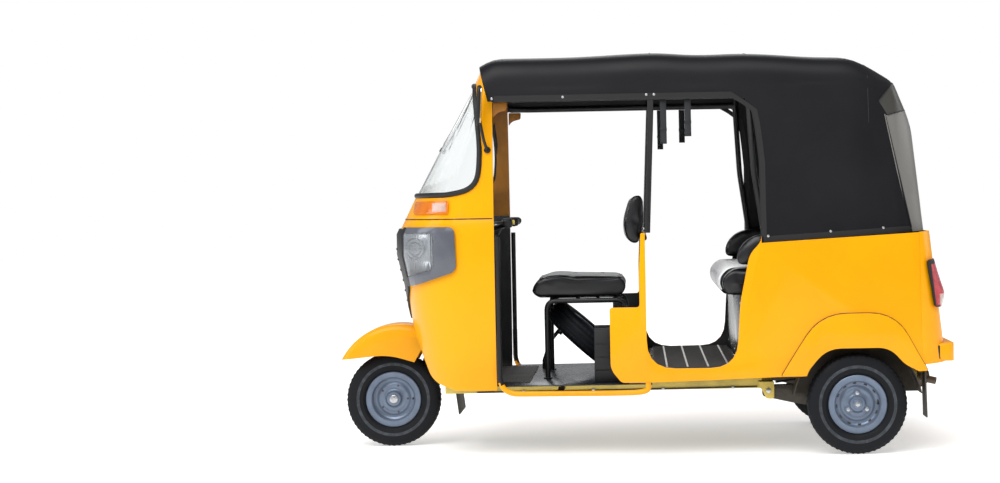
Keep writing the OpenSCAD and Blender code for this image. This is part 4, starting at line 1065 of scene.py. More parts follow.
for side in (1, -1):
    low = Vector((dash["face"] - 0.004, min(0.22 * side, 0.42 * side), 1.036))
    high = Vector((dash["face"] + 0.004, max(0.22 * side, 0.42 * side), 1.068))
    parts.append(paint(block("lid", low, high, 0.003), blackPlastic))
    parts.append(paint(roundBar("lidKnob", (dash["face"] - 0.003, 0.32 * side, 1.052),
                                (dash["face"] - 0.014, 0.32 * side, 1.052), 0.006, 20, 0.0015), zincPlate))
for k in range(4):
    y = -0.135 + 0.034 * k
    parts.append(paint(block("switch", (dash["face"] - 0.006, y, 0.925),
                             (dash["face"] + 0.002, y + 0.02, 0.945),
                             0.002), darkLampPlastic))
finishPiece(joined("dashBoard", parts), ["dashboard"])

# Wiper: cap, arm and a blade, all in one black finish
asBuilt("wiper", "screenWiper", powderCoat, 0.001, 50)

# Mirrors: a rounded housing open to the rear with silvered glass, on a bent arm with a hooked foot
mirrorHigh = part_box("mirrors")[1]
mirror = {"width": 0.102, "armRadius": 0.0065, "foot": 1.296}
inner = mirrorHigh.y - mirror["width"]
armX = frontHub.x - 0.474
face = [(inner, 1.393, 0.03), (mirrorHigh.y, 1.397, 0.03), (mirrorHigh.y - 0.004, 1.566, 0.03),
        (inner + 0.006, 1.564, 0.03)]
shapeLine = outline(face, left, up, (frontHub.x - 0.455, 0, 0), 5)
shell = plate("mirrorShell", shapeLine, forward * 0.016, ease=0.006, segments=3)
glassLine = outline([(c[0] + (0.007 if i in (0, 3) else -0.007), c[1] + (0.007 if i < 2 else -0.007), 0.024)
                     for i, c in enumerate(face)], left, up, (frontHub.x - 0.4575, 0, 0), 5)
silver = plate("mirrorGlass", glassLine, forward * 0.003)
for leaning in (shell, silver):
    turnBy(leaning, math.radians(3), "Y", (frontHub.x - 0.45, 0, 1.48))
footY = inner - 0.002
arm = pipe("mirrorArm", [(armX, footY, mirror["foot"]), (armX, footY + 0.018, mirror["foot"]),
                         (frontHub.x - 0.462, footY + 0.034, 1.335),
                         (frontHub.x - 0.446, footY + 0.046, 1.430)],
           mirror["armRadius"], sides=4, bend=0.02)
boss = roundBar("mirrorBoss", (armX, footY - 0.001, mirror["foot"]),
                (armX, footY + 0.010, mirror["foot"]), 0.014, 28, 0.002)
knuckle = roundBar("mirrorKnuckle", (frontHub.x - 0.438, footY + 0.046, 1.425),
                   (frontHub.x - 0.438, footY + 0.046, 1.462),
                   0.011, 24, 0.003)
nearMirror = joined("doorMirror", [paint(shell, blackPlastic), paint(silver, chromePlate),
                                   paint(arm, powderCoat),
                                paint(boss, powderCoat), paint(knuckle, blackPlastic)])
finishPiece(bothSides("doorMirrors", nearMirror), ["mirrors"], smooth=50)
print("front fittings made")


# ---- Wheels ----
wheel = {
    "outer": 0.208, "lugs": 56, "scuff": 0.1565, "scuffHalf": 0.0070,
    # radius and distance outwards of the tyre's bead, sidewall, scuff rib, shoulder and crown
    "tyre": [(0.103, 0.036), (0.1235, 0.0365), (0.127, 0.040), (0.1325, 0.0455), (0.134, 0.0470),
             (0.1375, 0.0478), (0.139, 0.0470), (0.150, 0.0500), (0.163, 0.0508), (0.1655, 0.0512),
             (0.169, 0.0508), (0.181, 0.0492), (0.190, 0.0468), (0.1985, 0.0425), (0.2035, 0.0370),
             (0.2056, 0.0315)],
    "grooves": [(0.2056, 0.0240), (0.2015, 0.0225), (0.2015, 0.0185), (0.2068, 0.0170),
                (0.2078, 0.0050), (0.2030, 0.0035)],
    # radius and distance outwards of the pressed disc and its rim, seen from outside
    "disc": [(0.0010, 0.0300), (0.0200, 0.0300), (0.0300, 0.0280), (0.0330, 0.0240), (0.0350, 0.0200),
             (0.0420, 0.0150), (0.0560, 0.0150), (0.0620, 0.0170), (0.0680, 0.0150), (0.0730, 0.0110),
             (0.0790, 0.0100), (0.0850, 0.0120), (0.0900, 0.0150), (0.0965, 0.0170), (0.0968, 0.0300),
             (0.1000, 0.0363), (0.1150, 0.0364), (0.1180, 0.0372), (0.1200, 0.0395), (0.1185, 0.0402),
             (0.1130, 0.0392), (0.0990, 0.0400)],
    "back": [(0.0940, 0.0340), (0.0925, 0.0200), (0.0925, -0.0330), (0.0990, -0.0402), (0.1130, -0.0395),
             (0.1185, -0.0402), (0.1200, -0.0390), (0.1150, -0.0364), (0.1026, -0.0363), (0.1026, 0.0363)],
}


# Half a section turned round the hub, outer side to the left
def ringPoints(section):
    return [Vector((r, y, 0)) for r, y in section]


def makeTyre(name):
    half = wheel["tyre"] + wheel["grooves"]
    section = ringPoints(half) + ringPoints([(r, -y) for r, y in reversed(half)])
    tyre = turned(name, section + [section[0]], (0, 0, 0), left, 112)
    lug = block("lug", (0.2005, 0.0255, -0.0052), (wheel["outer"], 0.0425, 0.0052), 0.0012, 1)
    # The shoulder end of a lug drops towards the sidewall, and leans
    for v in lug.data.vertices:
        outward = (v.co.y - 0.0255) / 0.017
        v.co.x -= 0.0062 * outward ** 2
        v.co.z += 0.006 * outward
    lugs = []
    step = 2 * math.pi / wheel["lugs"]
    for k in range(wheel["lugs"]):
        lugs.append(copied(lug, "lug", Matrix.Rotation(k * step, 4, "Y")))
        lugs.append(copied(lug, "lug", Matrix.Rotation((k + 0.5) * step, 4, "Y") @ Matrix.Rotation(math.pi, 4,
                "X")))
    bpy.data.objects.remove(lug)
    repaint(paint(tyre, tyreRubber), scuffedRubber,
            lambda c, n: abs(math.hypot(c.x, c.z) - wheel["scuff"]) < wheel["scuffHalf"] and abs(c.y) > 0.045)
    return joined(name, [tyre] + [paint(lug, tyreRubber) for lug in lugs])


def nutAt(name, place, outwards, across=0.0085, height=0.009):
    nut = roundBar(name, place, place + outwards * height, across, 6, 0.0012)
    stud = roundBar(name + "Stud", place, place + outwards * (height + 0.004), across * 0.5, 16, 0.0008)
    return joined(name, [paint(nut, zincPlate), paint(stud, zincPlate)])


def makeRim(name, driven):
    section = ringPoints(wheel["disc"]) + ringPoints(wheel["back"])
    rim = turned(name, section, (0, 0, 0), left, 96)
    modify(rim, "SOLIDIFY", thickness=0.0022, offset=1)
    parts = [paint(rim, rimEnamel)]
    # Drum behind the disc
    bore = 0.0181 if driven else 0.0125
    drum = turned("drum", ringPoints([(bore, -0.0295), (0.064, -0.0295), (0.0655, -0.028), (0.0655, 0.002),
                                      (0.078, 0.0075), (0.078, 0.0085), (0.030, 0.0120), (bore, 0.0060),
                                      (bore, -0.0295)]),
                  (0, 0, 0), left, 64)
    parts.append(paint(drum, castAluminium if driven else rimEnamel))
    # Valve, and small slots round the disc: black plates sunk into it, painted shade standing for holes
    turn = Matrix.Rotation
    valve = roundBar("valve", (-0.0855, 0.010, 0), (-0.0855, 0.026, 0), 0.0045, 16, 0.001)
    parts.append(paint(valve, sealRubber))
    if driven:
        slot = paint(block("slot", (0.0835, 0.0112, -0.0075), (0.0915, 0.0152, 0.0075), 0.0015, 1), blackSteel)
        parts += [copied(slot, "slot", turn(2 * math.pi * k / 12 + 0.1, 4, "Y")) for k in range(12)]
        bpy.data.objects.remove(slot)
        lobe = outline([(-0.017, 0.012, 0.008), (0.017, 0.012, 0.008), (0.013, 0.058, 0.013),
                        (-0.013, 0.058, 0.013)],
                       forward, up, (0, 0.014, 0))
        arm = paint(plate("lobe", lobe, left * 0.008, 0.002), rimEnamel)
        parts += [copied(arm, "lobe", turn(2 * math.pi * k / 3, 4, "Y")) for k in range(3)]
        bpy.data.objects.remove(arm)
        nut = nutAt("nut", Vector((0, 0.020, 0.045)), left)
        parts += [copied(nut, "nut", turn(2 * math.pi * k / 3, 4, "Y")) for k in range(3)]
        bpy.data.objects.remove(nut)
        parts.append(paint(roundBar("hubCap", (0, 0.018, 0), (0, 0.0385, 0), 0.021, 40, 0.004), rimEnamel))
        parts.append(nutAt("axleNut", Vector((0, 0.0385, 0)), left, 0.011, 0.0015))
    else:
        # The front disc's slots are black plates of painted shade as well
        slot = paint(block("slot", (0.0575, 0.0140, -0.004), (0.0655, 0.0178, 0.004), 0.0012, 1), blackSteel)
        parts += [copied(slot, "slot", turn(math.pi + 2 * math.pi * k / 5, 4, "Y")) for k in range(5)]
        bpy.data.objects.remove(slot)
        parts.append(paint(roundBar("hubCap", (0, 0.025, 0), (0, 0.0350, 0), 0.019, 40, 0.004), zincPlate))
    return joined(name, parts)


def placed(piece, place):
    piece.data.transform(place)
    return piece


masterTyre = makeTyre("masterTyre")
masterRim, masterDrivenRim = makeRim("masterRim", False), makeRim("masterDrivenRim", True)
turnAbout = Matrix.Rotation(math.pi, 4, "Z")
rearOut = middle("rear_tyre_left").y
for name, node, body, x, out, master in (
        ("frontTyre", "front_tyre", "front_wheel", frontHub.x, 0, masterTyre),
        ("rearTyreLeft", "rear_tyre_left", "rear_wheel_left", rearHub.x, 1, masterTyre),
        ("rearTyreRight", "rear_tyre_right", "rear_wheel_right", rearHub.x, -1, masterTyre),
        ("frontRim", "front_rim", "front_wheel", frontHub.x, 0, masterRim),
        ("rearRimLeft", "rear_rim_left", "rear_wheel_left", rearHub.x, 1, masterDrivenRim),
        ("rearRimRight", "rear_rim_right", "rear_wheel_right", rearHub.x, -1, masterDrivenRim)):
    facing = turnAbout if out < 0 else Matrix.Identity(4)
    made = copied(master, name, Matrix.Translation((x, 0, tyreRadius)) @ facing)
    made.data.transform(Matrix.Translation((0, rearOut * out, 0)))
    finishPiece(made, [node], smooth=40, body=body)
# The spare leans under the driver's seat on its tread
spareLow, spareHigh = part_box("spare_wheel")
leaned = (Matrix.Translation(((spareLow.x + spareHigh.x) / 2, 0, (spareLow.z + spareHigh.z) / 2))
          @ Matrix.Rotation(math.radians(-42), 4, "Y") @ Matrix.Rotation(math.radians(90), 4, "X"))
spare = joined("spareWheel", [placed(masterTyre, leaned), placed(masterRim, leaned)])
finishPiece(spare, ["spare_wheel"], smooth=40)
bpy.data.objects.remove(masterDrivenRim)
print("wheels made")


# ---- Cabin ----
# A flat strip of webbing or tape along points, each with its own width
def ribbon(name, points, widths, thickness, ease=0.0006):
    points = [Vector(p) for p in points]
    if isinstance(widths, Vector):
        widths = [widths] * len(points)
    strap = bandBetween(name, [p - w / 2 for p, w in zip(points, widths)],
                        [p + w / 2 for p, w in zip(points, widths)],
                        thickness)
    return softenEdges(strap, ease, 1)


# Swells a closed shape into a stuffed pad. Points move by cap at most, and stay between two corners.
def stuffed(piece, cap, low, high, voxel=0.006, pressure=4.0):
    low, high = Vector(low), Vector(high)
    modify(piece, "REMESH", mode="VOXEL", voxel_size=voxel * 2)
    before = [v.co.copy() for v in piece.data.vertices]
    useOnly(piece)
    cloth = piece.modifiers.new("stuffing", "CLOTH")
    cloth.settings.quality = 3
    cloth.settings.mass = 0.3
    cloth.settings.tension_stiffness = cloth.settings.compression_stiffness = 12
    cloth.settings.shear_stiffness = 8
    cloth.settings.bending_stiffness = 1.0
    cloth.settings.use_pressure = True
    cloth.settings.uniform_pressure_force = pressure
    cloth.settings.effector_weights.gravity = 0
    cloth.point_cache.frame_start, cloth.point_cache.frame_end = 1, 12
    for k in range(1, 13):
        bpy.context.scene.frame_set(k)
    shaped = piece.evaluated_get(bpy.context.evaluated_depsgraph_get()).data
    after = [v.co.copy() for v in shaped.vertices]
    piece.modifiers.remove(cloth)
    bpy.context.scene.frame_set(1)
    for v, a, b in zip(piece.data.vertices, before, after):
        move = b - a
        if move.length > cap:
            move *= cap / move.length
        v.co = Vector([min(max((a + move)[i], low[i]), high[i]) for i in range(3)])
    modify(piece, "SMOOTH", factor=0.5, iterations=2)
    modify(piece, "SUBSURF", levels=1, render_levels=1)
    return piece


# Pulls a sewn channel into a pad along each plane, and only where wanted
def sewChannels(piece, planes, depth=0.006, width=0.007, wanted=lambda p, n: True):
    for v in piece.data.vertices:
        if wanted(v.co, v.normal):
            pull = max([math.exp(-((v.co - Vector(at)).dot(Vector(way).normalized()) / width) ** 2)
                        for at, way in planes])
            v.co -= v.normal * depth * pull
    return piece


# Piping on a pad's surface, found by looking at it along a direction from each place
def padWelt(name, pad, places, direction, radius=0.0035, closed=False, lift=0.0008):
    tree = treeOf(pad)
    direction = Vector(direction)
    made = []
    for place in places:
        hit = tree.ray_cast(Vector(place) + direction * 0.5, -direction)
        if hit[0]:
            made.append(hit[0] + hit[1] * lift)
    return paint(pipe(name, made, radius, closed=closed, sides=3), seatVinyl)


def extrudedSide(name, corners, y0, y1, ease=0.02):
    shape = plate(name, outline([(c[0], c[1], c[2]) for c in corners], forward, up, (0, y0, 0), 5),
                  left * (y1 - y0))
    if ease:
        softenEdges(shape, ease, 4, 50)
    return shape


driverSeat = {
    "corners": [(0.500, 0.660, 0.025), (0.500, 0.713, 0.035), (0.428, 0.750, 0.05), (0.268, 0.742, 0.05),
                (0.085, 0.736, 0.03), (0.076, 0.690, 0.02), (0.094, 0.660, 0.012)],
    "half": 0.222, "cap": 0.008,
}
seat = extrudedSide("driverSeat", [(postX + c[0], c[1], c[2]) for c in driverSeat["corners"]],
                    -driverSeat["half"], driverSeat["half"], 0.022)
stuffed(seat, driverSeat["cap"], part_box("driver_seat")[0] + Vector((0.001, 0.001, 0.0012)),
        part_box("driver_seat")[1] + Vector((0.001, 0.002, 0.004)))
sewChannels(seat, [((postX + 0.19, 0, 0), forward), ((postX + 0.31, 0, 0), forward)], 0.005, 0.006,
            lambda p, n: n.z > 0.4 and abs(p.y) < 0.16)
sewChannels(seat, [((0, 0.165, 0), left), ((0, -0.165, 0), left)], 0.006, 0.006,
            lambda p, n: n.z > 0.3)
paint(seat, seatVinyl)
welts = []
rim = [(postX + 0.105, -0.212), (postX + 0.105, 0.212), (postX + 0.46, 0.212), (postX + 0.46, -0.212)]
loop = roundedPath([Vector((x, y, 0.9)) for x, y in rim] + [Vector((rim[0][0], rim[0][1], 0.9))], 0.03, 6)
dense = []
for a, b in zip(loop, loop[1:]):
    n = max(1, int((b - a).length / 0.02))
    dense += [a.lerp(b, k / n) for k in range(n)]
welts.append(padWelt("seatWelt", seat, dense, up, 0.0032, closed=True))
seat = joined("driverSeat", [seat] + welts)
finishPiece(seat, ["driver_seat"], smooth=60)

backRest = {
    "corners": [(0.026, 0.872, 0.025), (0.078, 0.897, 0.03), (0.088, 0.980, 0.04), (0.054, 1.090, 0.025),
                (0.010, 1.100, 0.012), (0.008, 0.980, 0.01)],
    "half": 0.198, "cap": 0.007,
}
rest = extrudedSide("driverBackrest", [(postX + c[0], c[1], c[2]) for c in backRest["corners"]],
                    -backRest["half"], backRest["half"], 0.018)
stuffed(rest, backRest["cap"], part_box("driver_backrest")[0] + Vector((0.0005, 0, 0)),
        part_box("driver_backrest")[1] + Vector((0.002, 0, 0.001)), voxel=0.005)
sewChannels(rest, [((0, 0.14, 0), left), ((0, -0.14, 0), left)], 0.005, 0.006, lambda p, n: n.x > 0.3)
paint(rest, seatVinyl)
finishPiece(rest, ["driver_backrest"], smooth=60)
print("driver's seat stuffed")

bench = {"low": 0.6695, "top": 0.778, "half": 0.588, "blackFrom": 0.492, "cap": 0.009, "panel": 0.164}
rx = rearHub.x
benchPad = extrudedSide("benchSeat", [
    (rx + 0.560, bench["low"] + 0.004, 0.012), (rx + 0.582, 0.728, 0.03),
    (rx + 0.546, bench["top"] + 0.002, 0.035), (rx + 0.200, bench["top"] - 0.008, 0.03),
    (rx + 0.118, bench["top"] - 0.012, 0.01), (rx + 0.118, bench["low"] + 0.004, 0.01)],
    -bench["half"], bench["half"], 0.016)
benchLow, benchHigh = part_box("passenger_seat")
stuffed(benchPad, bench["cap"], benchLow + Vector((0.002, 0, 0.0006)), benchHigh + Vector((0.002, 0, 0.0)),
        0.0065)
for v in benchPad.data.vertices:   # the black end bolsters sit a little back and lower
    past = min(1, max(0, (abs(v.co.y) - bench["blackFrom"]) / 0.02))
    if v.co.x > rx + 0.45:
        v.co.x -= 0.016 * past
    if v.co.z > 0.72:
        v.co.z -= 0.006 * past
ends = [((0, s * bench["blackFrom"], 0), left) for s in (1, -1)]
sewChannels(benchPad, ends, 0.008, 0.006, lambda p, n: p.z > bench["low"] + 0.012)
sewChannels(benchPad, [((0, s * k * bench["panel"], 0), left) for s in (1, -1) for k in (0.0, 1, 2)], 0.006,
            0.007,
            lambda p, n: n.z > 0.5 and p.x < rx + 0.53)
paint(benchPad, greySeatVinyl)
repaint(benchPad, seatVinyl, lambda c, n: abs(c.y) > bench["blackFrom"] or c.z < 0.690)
finishPiece(benchPad, ["passenger_seat"], smooth=60)

backPad = extrudedSide("benchBackrest", [
    (rx + 0.197, bench["top"] + 0.010, 0.02), (rx + 0.170, 0.960, 0.05), (rx + 0.116, 1.170, 0.03),
    (rx + 0.058, 1.180, 0.015), (rx + 0.086, 0.960, 0.01), (rx + 0.116, bench["top"] + 0.002, 0.01)],
    -0.578, 0.578, 0.016)
padLow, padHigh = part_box("passenger_backrest")
stuffed(backPad, bench["cap"], padLow + Vector((0.001, 0, 0.001)), padHigh + Vector((0.001, 0, 0.001)), 0.0065)
sewChannels(backPad, ends, 0.008, 0.006)
sewChannels(backPad, [((0, s * k * bench["panel"], 0), left) for s in (1, -1) for k in (0.0, 1, 2)], 0.006,
            0.007,
            lambda p, n: n.x > 0.5 and p.z < 1.14)
paint(backPad, greySeatVinyl)
repaint(backPad, seatVinyl, lambda c, n: abs(c.y) > bench["blackFrom"] or c.x < rx + 0.085 or c.z > 1.165)
finishPiece(backPad, ["passenger_backrest"], smooth=60)

armLow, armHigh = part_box("armrests")
armPad = extrudedSide("armrest", [
    (rx + 0.488, bench["top"] + 0.018, 0.02), (rx + 0.490, 0.856, 0.04), (rx + 0.424, 0.922, 0.05),
    (rx + 0.232, 0.930, 0.02), (rx + 0.238, bench["top"] + 0.012, 0.01)], 0.523, 0.579, 0.014)
stuffed(armPad, 0.006, (armLow.x, armHigh.y - 0.070, armLow.z + 0.0005), armHigh + Vector((0.001, 0, 0.001)),
        0.0055)
sewChannels(armPad, [((0, 0.551, 0), left)], 0.003, 0.004, lambda p, n: p.z > 0.80)
paint(armPad, seatVinyl)
armrests = bothSides("armRests", armPad)
finishPiece(armrests, ["armrests"], smooth=60)
print("bench stuffed")

# Seat frame: bent tube legs with feet, cross bars and slats under the pad
legY, slatZ = driverSeat["half"] + 0.001, 0.6405
frameParts = []
for side in (1, -1):
    y = legY * side
    frameParts.append(pipe("leg", [(postX + 0.430, y, floorTop + 0.001), (postX + 0.430, y, slatZ),
                                   (postX + 0.090, y, slatZ), (postX + 0.060, y, floorTop + 0.002)], 0.011,
                                   sides=4, bend=0.04))
    for x in (0.430, 0.060):
        frameParts.append(roundBar("foot", (postX + x, y, floorTop + 0.0006), (postX + x, y, floorTop + 0.005),
                                   0.019, 24, 0.001))
for x in (0.395, 0.30, 0.21, 0.130):
    frameParts.append(roundBar("crossBar", (postX + x, -legY, slatZ), (postX + x, legY, slatZ), 0.008, 20))
for y in (-0.12, 0.12):
    frameParts.append(block("slat", (postX + 0.10, y - 0.02, slatZ + 0.0075),
                            (postX + 0.42, y + 0.02, slatZ + 0.0105), 0.001, 1))
seatFrame = joined("driverSeatFrame", [paint(p, powderCoat) for p in frameParts])
finishPiece(seatFrame, ["driver_seat_frame"], smooth=45)
seatBox = paint(refined("seat_box", "seatBox", ease=0.002), floorEnamel)
rivets = [paint(roundBar("rivet", (rx + 0.477, y, z), (rx + 0.4805, y, z), 0.006, 16, 0.001), zincPlate)
          for y in (-0.56, -0.28, 0.0, 0.28, 0.56) for z in (0.40, 0.635)]
finishPiece(joined("seatBox", [seatBox] + rivets), ["seat_box"])

# Floor with ribbed rubber mats, and bright strips across the passengers' mat
floorPan = paint(refined("floor_pan", "floorPan", ease=0.0012), floorEnamel)
matTop = 0.372
mats = [block("mat", (postX - 0.385, -0.575, matTop - 0.0050), (postX - 0.030, 0.575, matTop + 0.0005), 0.001,
              1)]
for k in range(60):
    y = -0.565 + k * 0.0191
    mats.append(block("matRib", (postX - 0.380, y, matTop), (postX - 0.035, y + 0.006, matTop + 0.0022), 0, 1))
mats.append(block("driverMat", (postX + 0.50, -0.40, floorTop - 0.001), (postX + 0.80, 0.40, floorTop + 0.004),
                  0.0015, 1))
for k in range(20):
    x = postX + 0.510 + k * 0.0145
    mats.append(block("driverRib", (x, -0.395, floorTop + 0.003), (x + 0.006, 0.395, floorTop + 0.0058), 0, 1))
strips = []
for x in (-0.084, -0.170, -0.256, -0.342):
    strips.append(block("strip", (postX + x - 0.004, -0.572, matTop + 0.001),
                        (postX + x + 0.004, 0.572, matTop + 0.0040), 0.0008, 1))
covers = [paint(m, matRubber) for m in mats] + [paint(s, matStrip) for s in strips]
finishPiece(joined("floorPan", [floorPan] + covers), ["floor_pan"])

# Step rails: yellow below, black where they run up inside the shield's edge
railX, railY = doorEdge - 0.0133, 0.559
railEnd = Vector((postX - 0.004, bodyHalf - 0.024, 0.275))
path = roundedPath([(railX, railY, 0.470), (railX, railY, 0.273), (postX + 0.152, railEnd.y - 0.026, 0.271),
                    railEnd, (railEnd.x, railEnd.y, 0.3148)], 0.080, 9)
upright = paint(pipe("railUpright", [(railX, railY, 0.400), (railX, railY, 0.928)], 0.0105, sides=4),
                powderCoat)
lowRail = paint(pipe("railTube", path, 0.0115, sides=5), bodyEnamel)
repaint(lowRail, powderCoat, lambda c, n: c.z > 0.315 and c.x > doorEdge - 0.05)
hanger = paint(block("railHanger", (0.321, 0.30, 0.268), (0.349, 0.548, 0.278), 0.002), blackSteel)
finishPiece(bothSides("stepRails", joined("stepRail", [lowRail, upright, hanger])),
            ["step_rails"], smooth=50)

asBuilt("roof_frame", "roofFrame", powderCoat, 0, 50)

# Stiffening gussets between the pillars' tops and the roof rail
gussetLine = outline([(doorEdge - 0.004, 1.492, 0.003), (doorEdge - 0.062, 1.492, 0.006),
                      (doorEdge - 0.060, 1.462, 0.008), (doorEdge - 0.020, 1.452, 0.014),
                      (doorEdge - 0.004, 1.432, 0.003)], forward, up, (0, 0.520, 0), 4)
# The gussets take the inner enamel, darkened as painted shade
gusset = paint(plate("gusset", gussetLine, left * 0.003, ease=0.0008), shadedInnerEnamel)
finishPiece(bothSides("pillarGussets", gusset), smooth=40)

# Grab straps: webbing doubled into a loop, with a stitched keeper
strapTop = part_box("grab_straps")[1].z
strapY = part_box("grab_straps")[1].y - 0.002
straps = []
for x, drop in ((rx + 0.786, 0.190), (rx + 0.683, 0.160)):
    low = strapTop - drop + 0.006
    loop = roundedPath([(x, strapY - 0.006, strapTop), (x, strapY - 0.0035, low + 0.05),
                        (x, strapY - 0.016, low), (x, strapY + 0.012, low), (x, strapY + 0.0015, low + 0.05),
                        (x, strapY + 0.004, strapTop)], 0.014, 5)
    straps.append(paint(ribbon("strap", loop, forward * 0.027, 0.0018), webbing))
    straps.append(paint(block("keeper", (x - 0.0145, strapY - 0.0065, low + 0.052),
                              (x + 0.0145, strapY + 0.0045, low + 0.066),
                              0.0015), blackPlastic))
finishPiece(bothSides("grabStraps", joined("grabStrap", straps)), ["grab_straps"], smooth=50)

# Battery box with a lipped lid, terminals and a clamp strap
boxLow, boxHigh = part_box("battery_box")
battery = [paint(block("batteryBox", boxLow, (boxHigh.x, boxHigh.y, boxHigh.z - 0.045), 0.004), blackPlastic),
           paint(block("batteryLid", boxLow + Vector((-0.0008, -0.0008, 0.225)),
                       (boxHigh.x, boxHigh.y, boxHigh.z - 0.040),
                       0.003), blackPlastic)]
for k in range(3):
    z = boxLow.z + 0.05 + 0.055 * k
    battery.append(paint(block("rib", (boxLow.x - 0.0006, boxLow.y - 0.0006, z),
                               (boxHigh.x, boxHigh.y, z + 0.006), 0.001, 1),
                         blackPlastic))
for y in (boxLow.y + 0.05, boxHigh.y - 0.05):
    battery.append(paint(roundBar("terminal", (boxLow.x + 0.04, y, boxHigh.z - 0.041),
                                  (boxLow.x + 0.04, y, boxHigh.z - 0.022),
                                  0.009, 24, 0.002), zincPlate))
clampY, lidTop = boxLow.y + 0.10, boxHigh.z - 0.037
clampLine = [(boxLow.x + 0.02, clampY, boxLow.z + 0.24), (boxLow.x + 0.06, clampY, lidTop),
             (boxHigh.x - 0.02, clampY, lidTop)]
battery.append(paint(ribbon("clampStrap", clampLine, left * 0.025, 0.0015), webbing))
finishPiece(joined("batteryBox", battery), ["battery_box"])

# Pedals: arms with ribbed rubber pads, and the starter lever with its grip
pedalArm = paint(refined("pedals", "footPedals", ease=0.0015), blackSteel)
pads = []
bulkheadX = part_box("pedals")[1].x
for k in range(5):
    z = 0.376 + k * 0.011
    pads.append(paint(block("padRib", (bulkheadX - 0.0685, -0.182, z), (bulkheadX - 0.0660, -0.118, z + 0.006),
                            0.0008, 1), sealRubber))
grip = paint(roundBar("leverGrip", (0.368, -0.300, 0.462), (0.343, -0.300, 0.499), 0.0125, 24, 0.002),
             sealRubber)
finishPiece(joined("footPedals", [pedalArm, grip] + pads), ["pedals"], smooth=50)
print("cabin made")


# ---- Rear body ----
def spring(name, start, end, radius, wire, turns):
    start, end = Vector(start), Vector(end)
    along = (end - start).normalized()
    across = along.cross(left if abs(along.y) < 0.9 else up).normalized()
    third = along.cross(across)
    n = int(turns * 14)
    points = []
    for k in range(n + 1):
        t = k / n
        rise = min(1, max(0, (t - 0.05) / 0.90))
        a = 2 * math.pi * turns * t
        points.append(start.lerp(end, rise) + (across * math.cos(a) + third * math.sin(a)) * radius)
    return pipe(name, points, wire, sides=2)


tail = {"low": rx - 0.388, "slope": 0.11, "from": 0.315}


def tailX(z):
    return tail["low"] + (z - tail["from"]) * tail["slope"]


archLine = outline([(rx + 0.318, 0.332, 0.012), (rx + 0.250, 0.440, 0.060), (rx + 0.150, 0.588, 0.110),
                    (rx - 0.160, 0.588, 0.110), (rx - 0.250, 0.420, 0.060), (rx - 0.292, 0.345, 0.012)],
                   forward, up, (0, bodyHalf + 0.0012, 0), 8)
asBuilt("wheel_flares", "wheelFlares", bodyEnamel, 0.0035, 50)
flareSeal = paint(pipe("flareSeal", archLine[4:-4], 0.0024, sides=2), sealRubber)
finishPiece(bothSides("flareSeals", flareSeal), smooth=60)
asBuilt("wheel_housings", "wheelHousings", blackSteel, 0, 40)

# Bumper with rubber end pads and its bolts
bumperLow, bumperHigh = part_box("bumper")
bumperParts = [paint(refined("bumper", "rearBumper", ease=0.004), bodyEnamel)]
for shift in (0, 0.029 - bumperHigh.y * 2):
    pad = block("bumperPad", (bumperHigh.x - 0.0075, bumperHigh.y - 0.010 , 0.389),
                (bumperHigh.x + 0.0035, bumperHigh.y + 0.0010, 0.446), 0.003)
    bumperParts.append(paint(placed(pad, Matrix.Translation((0, shift, 0))), sealRubber))
for y in (-0.45, -0.15, 0.15, 0.45):
    bumperParts.append(nutAt("bumperBolt", Vector((bumperLow.x + 0.001, y, 0.4175)), -forward, 0.008, 0.004))
finishPiece(joined("rearBumper", bumperParts), ["bumper"], smooth=50)

# Tail lamps: narrow at the top, fullest low down, with a clear reversing part
lamps = paint(refined("tail_lamps", "tailLamps", ease=0.0012), redLens)
cutAlong(lamps, *[((0, 0, z), (0, 0, 1)) for z in (0.614, 0.622, 0.636, 0.652, 0.660, 0.668, 0.684, 0.705,
        0.730, 0.760, 0.785)])
bulge = [(0.600, 0.004), (0.620, -0.002), (0.650, -0.013), (0.672, -0.015), (0.700, -0.008), (0.750, 0.002),
         (0.810, 0.011)]
for v in lamps.data.vertices:
    proud = tailX(v.co.z) - v.co.x
    share = min(1, max(0, (proud + 0.004) / 0.016)) if abs(v.co.y) < bodyHalf - 0.02 or proud > 0 else 0
    for (z0, a), (z1, b) in zip(bulge, bulge[1:]):
        if z0 <= v.co.z <= z1:
            v.co.x += share * (a + (b - a) * (v.co.z - z0) / (z1 - z0))
repaint(lamps, whiteLens, lambda c, n: 0.614 < c.z < 0.660 and c.x < tailX(c.z) - 0.004)
repaint(lamps, sealRubber, lambda c, n: c.x > tailX(c.z) + 0.012 and abs(n.z) < 0.5)
finishPiece(lamps, ["tail_lamps"], smooth=60)

# Engine door with pressed louvres and a dark latch
door = [paint(refined("engine_door", "engineDoor", ease=0.002), bodyEnamel)]
doorLean = Matrix.Rotation(math.atan(tail["slope"]), 4, "Y")
for side in (1, -1):
    for k in range(6):
        z = 0.700 + 0.021 * k
        place = Matrix.Translation((tailX(z) - 0.0004, side * 0.205, z)) @ doorLean
        ridge = block("louvre", (-0.006, -0.115, -0.005), (0.003, 0.115, 0.0045), 0.0035)
        # Under each ridge a black strip: painted shade where the louvre opens
        louvreShade = block("louvreShade", (-0.0046, -0.110, -0.0062), (0.001, 0.110, -0.0040), 0)
        door += [placed(paint(ridge, bodyEnamel), place), placed(paint(louvreShade, blackSteel), place)]
latch = block("latch", (tailX(0.529) - 0.0215, -0.030, 0.5185), (tailX(0.529) - 0.016, 0.030, 0.5395), 0.003)
door.append(paint(latch, blackSteel))
engineDoor = finishPiece(joined("engineDoor", door), ["engine_door"], smooth=45,
                         body="engine_door")
# The pressed panel is flat, so its large faces are shaded flat between the eased edges
for face in engineDoor.data.polygons:
    if face.area > 0.0003:
        face.use_smooth = False

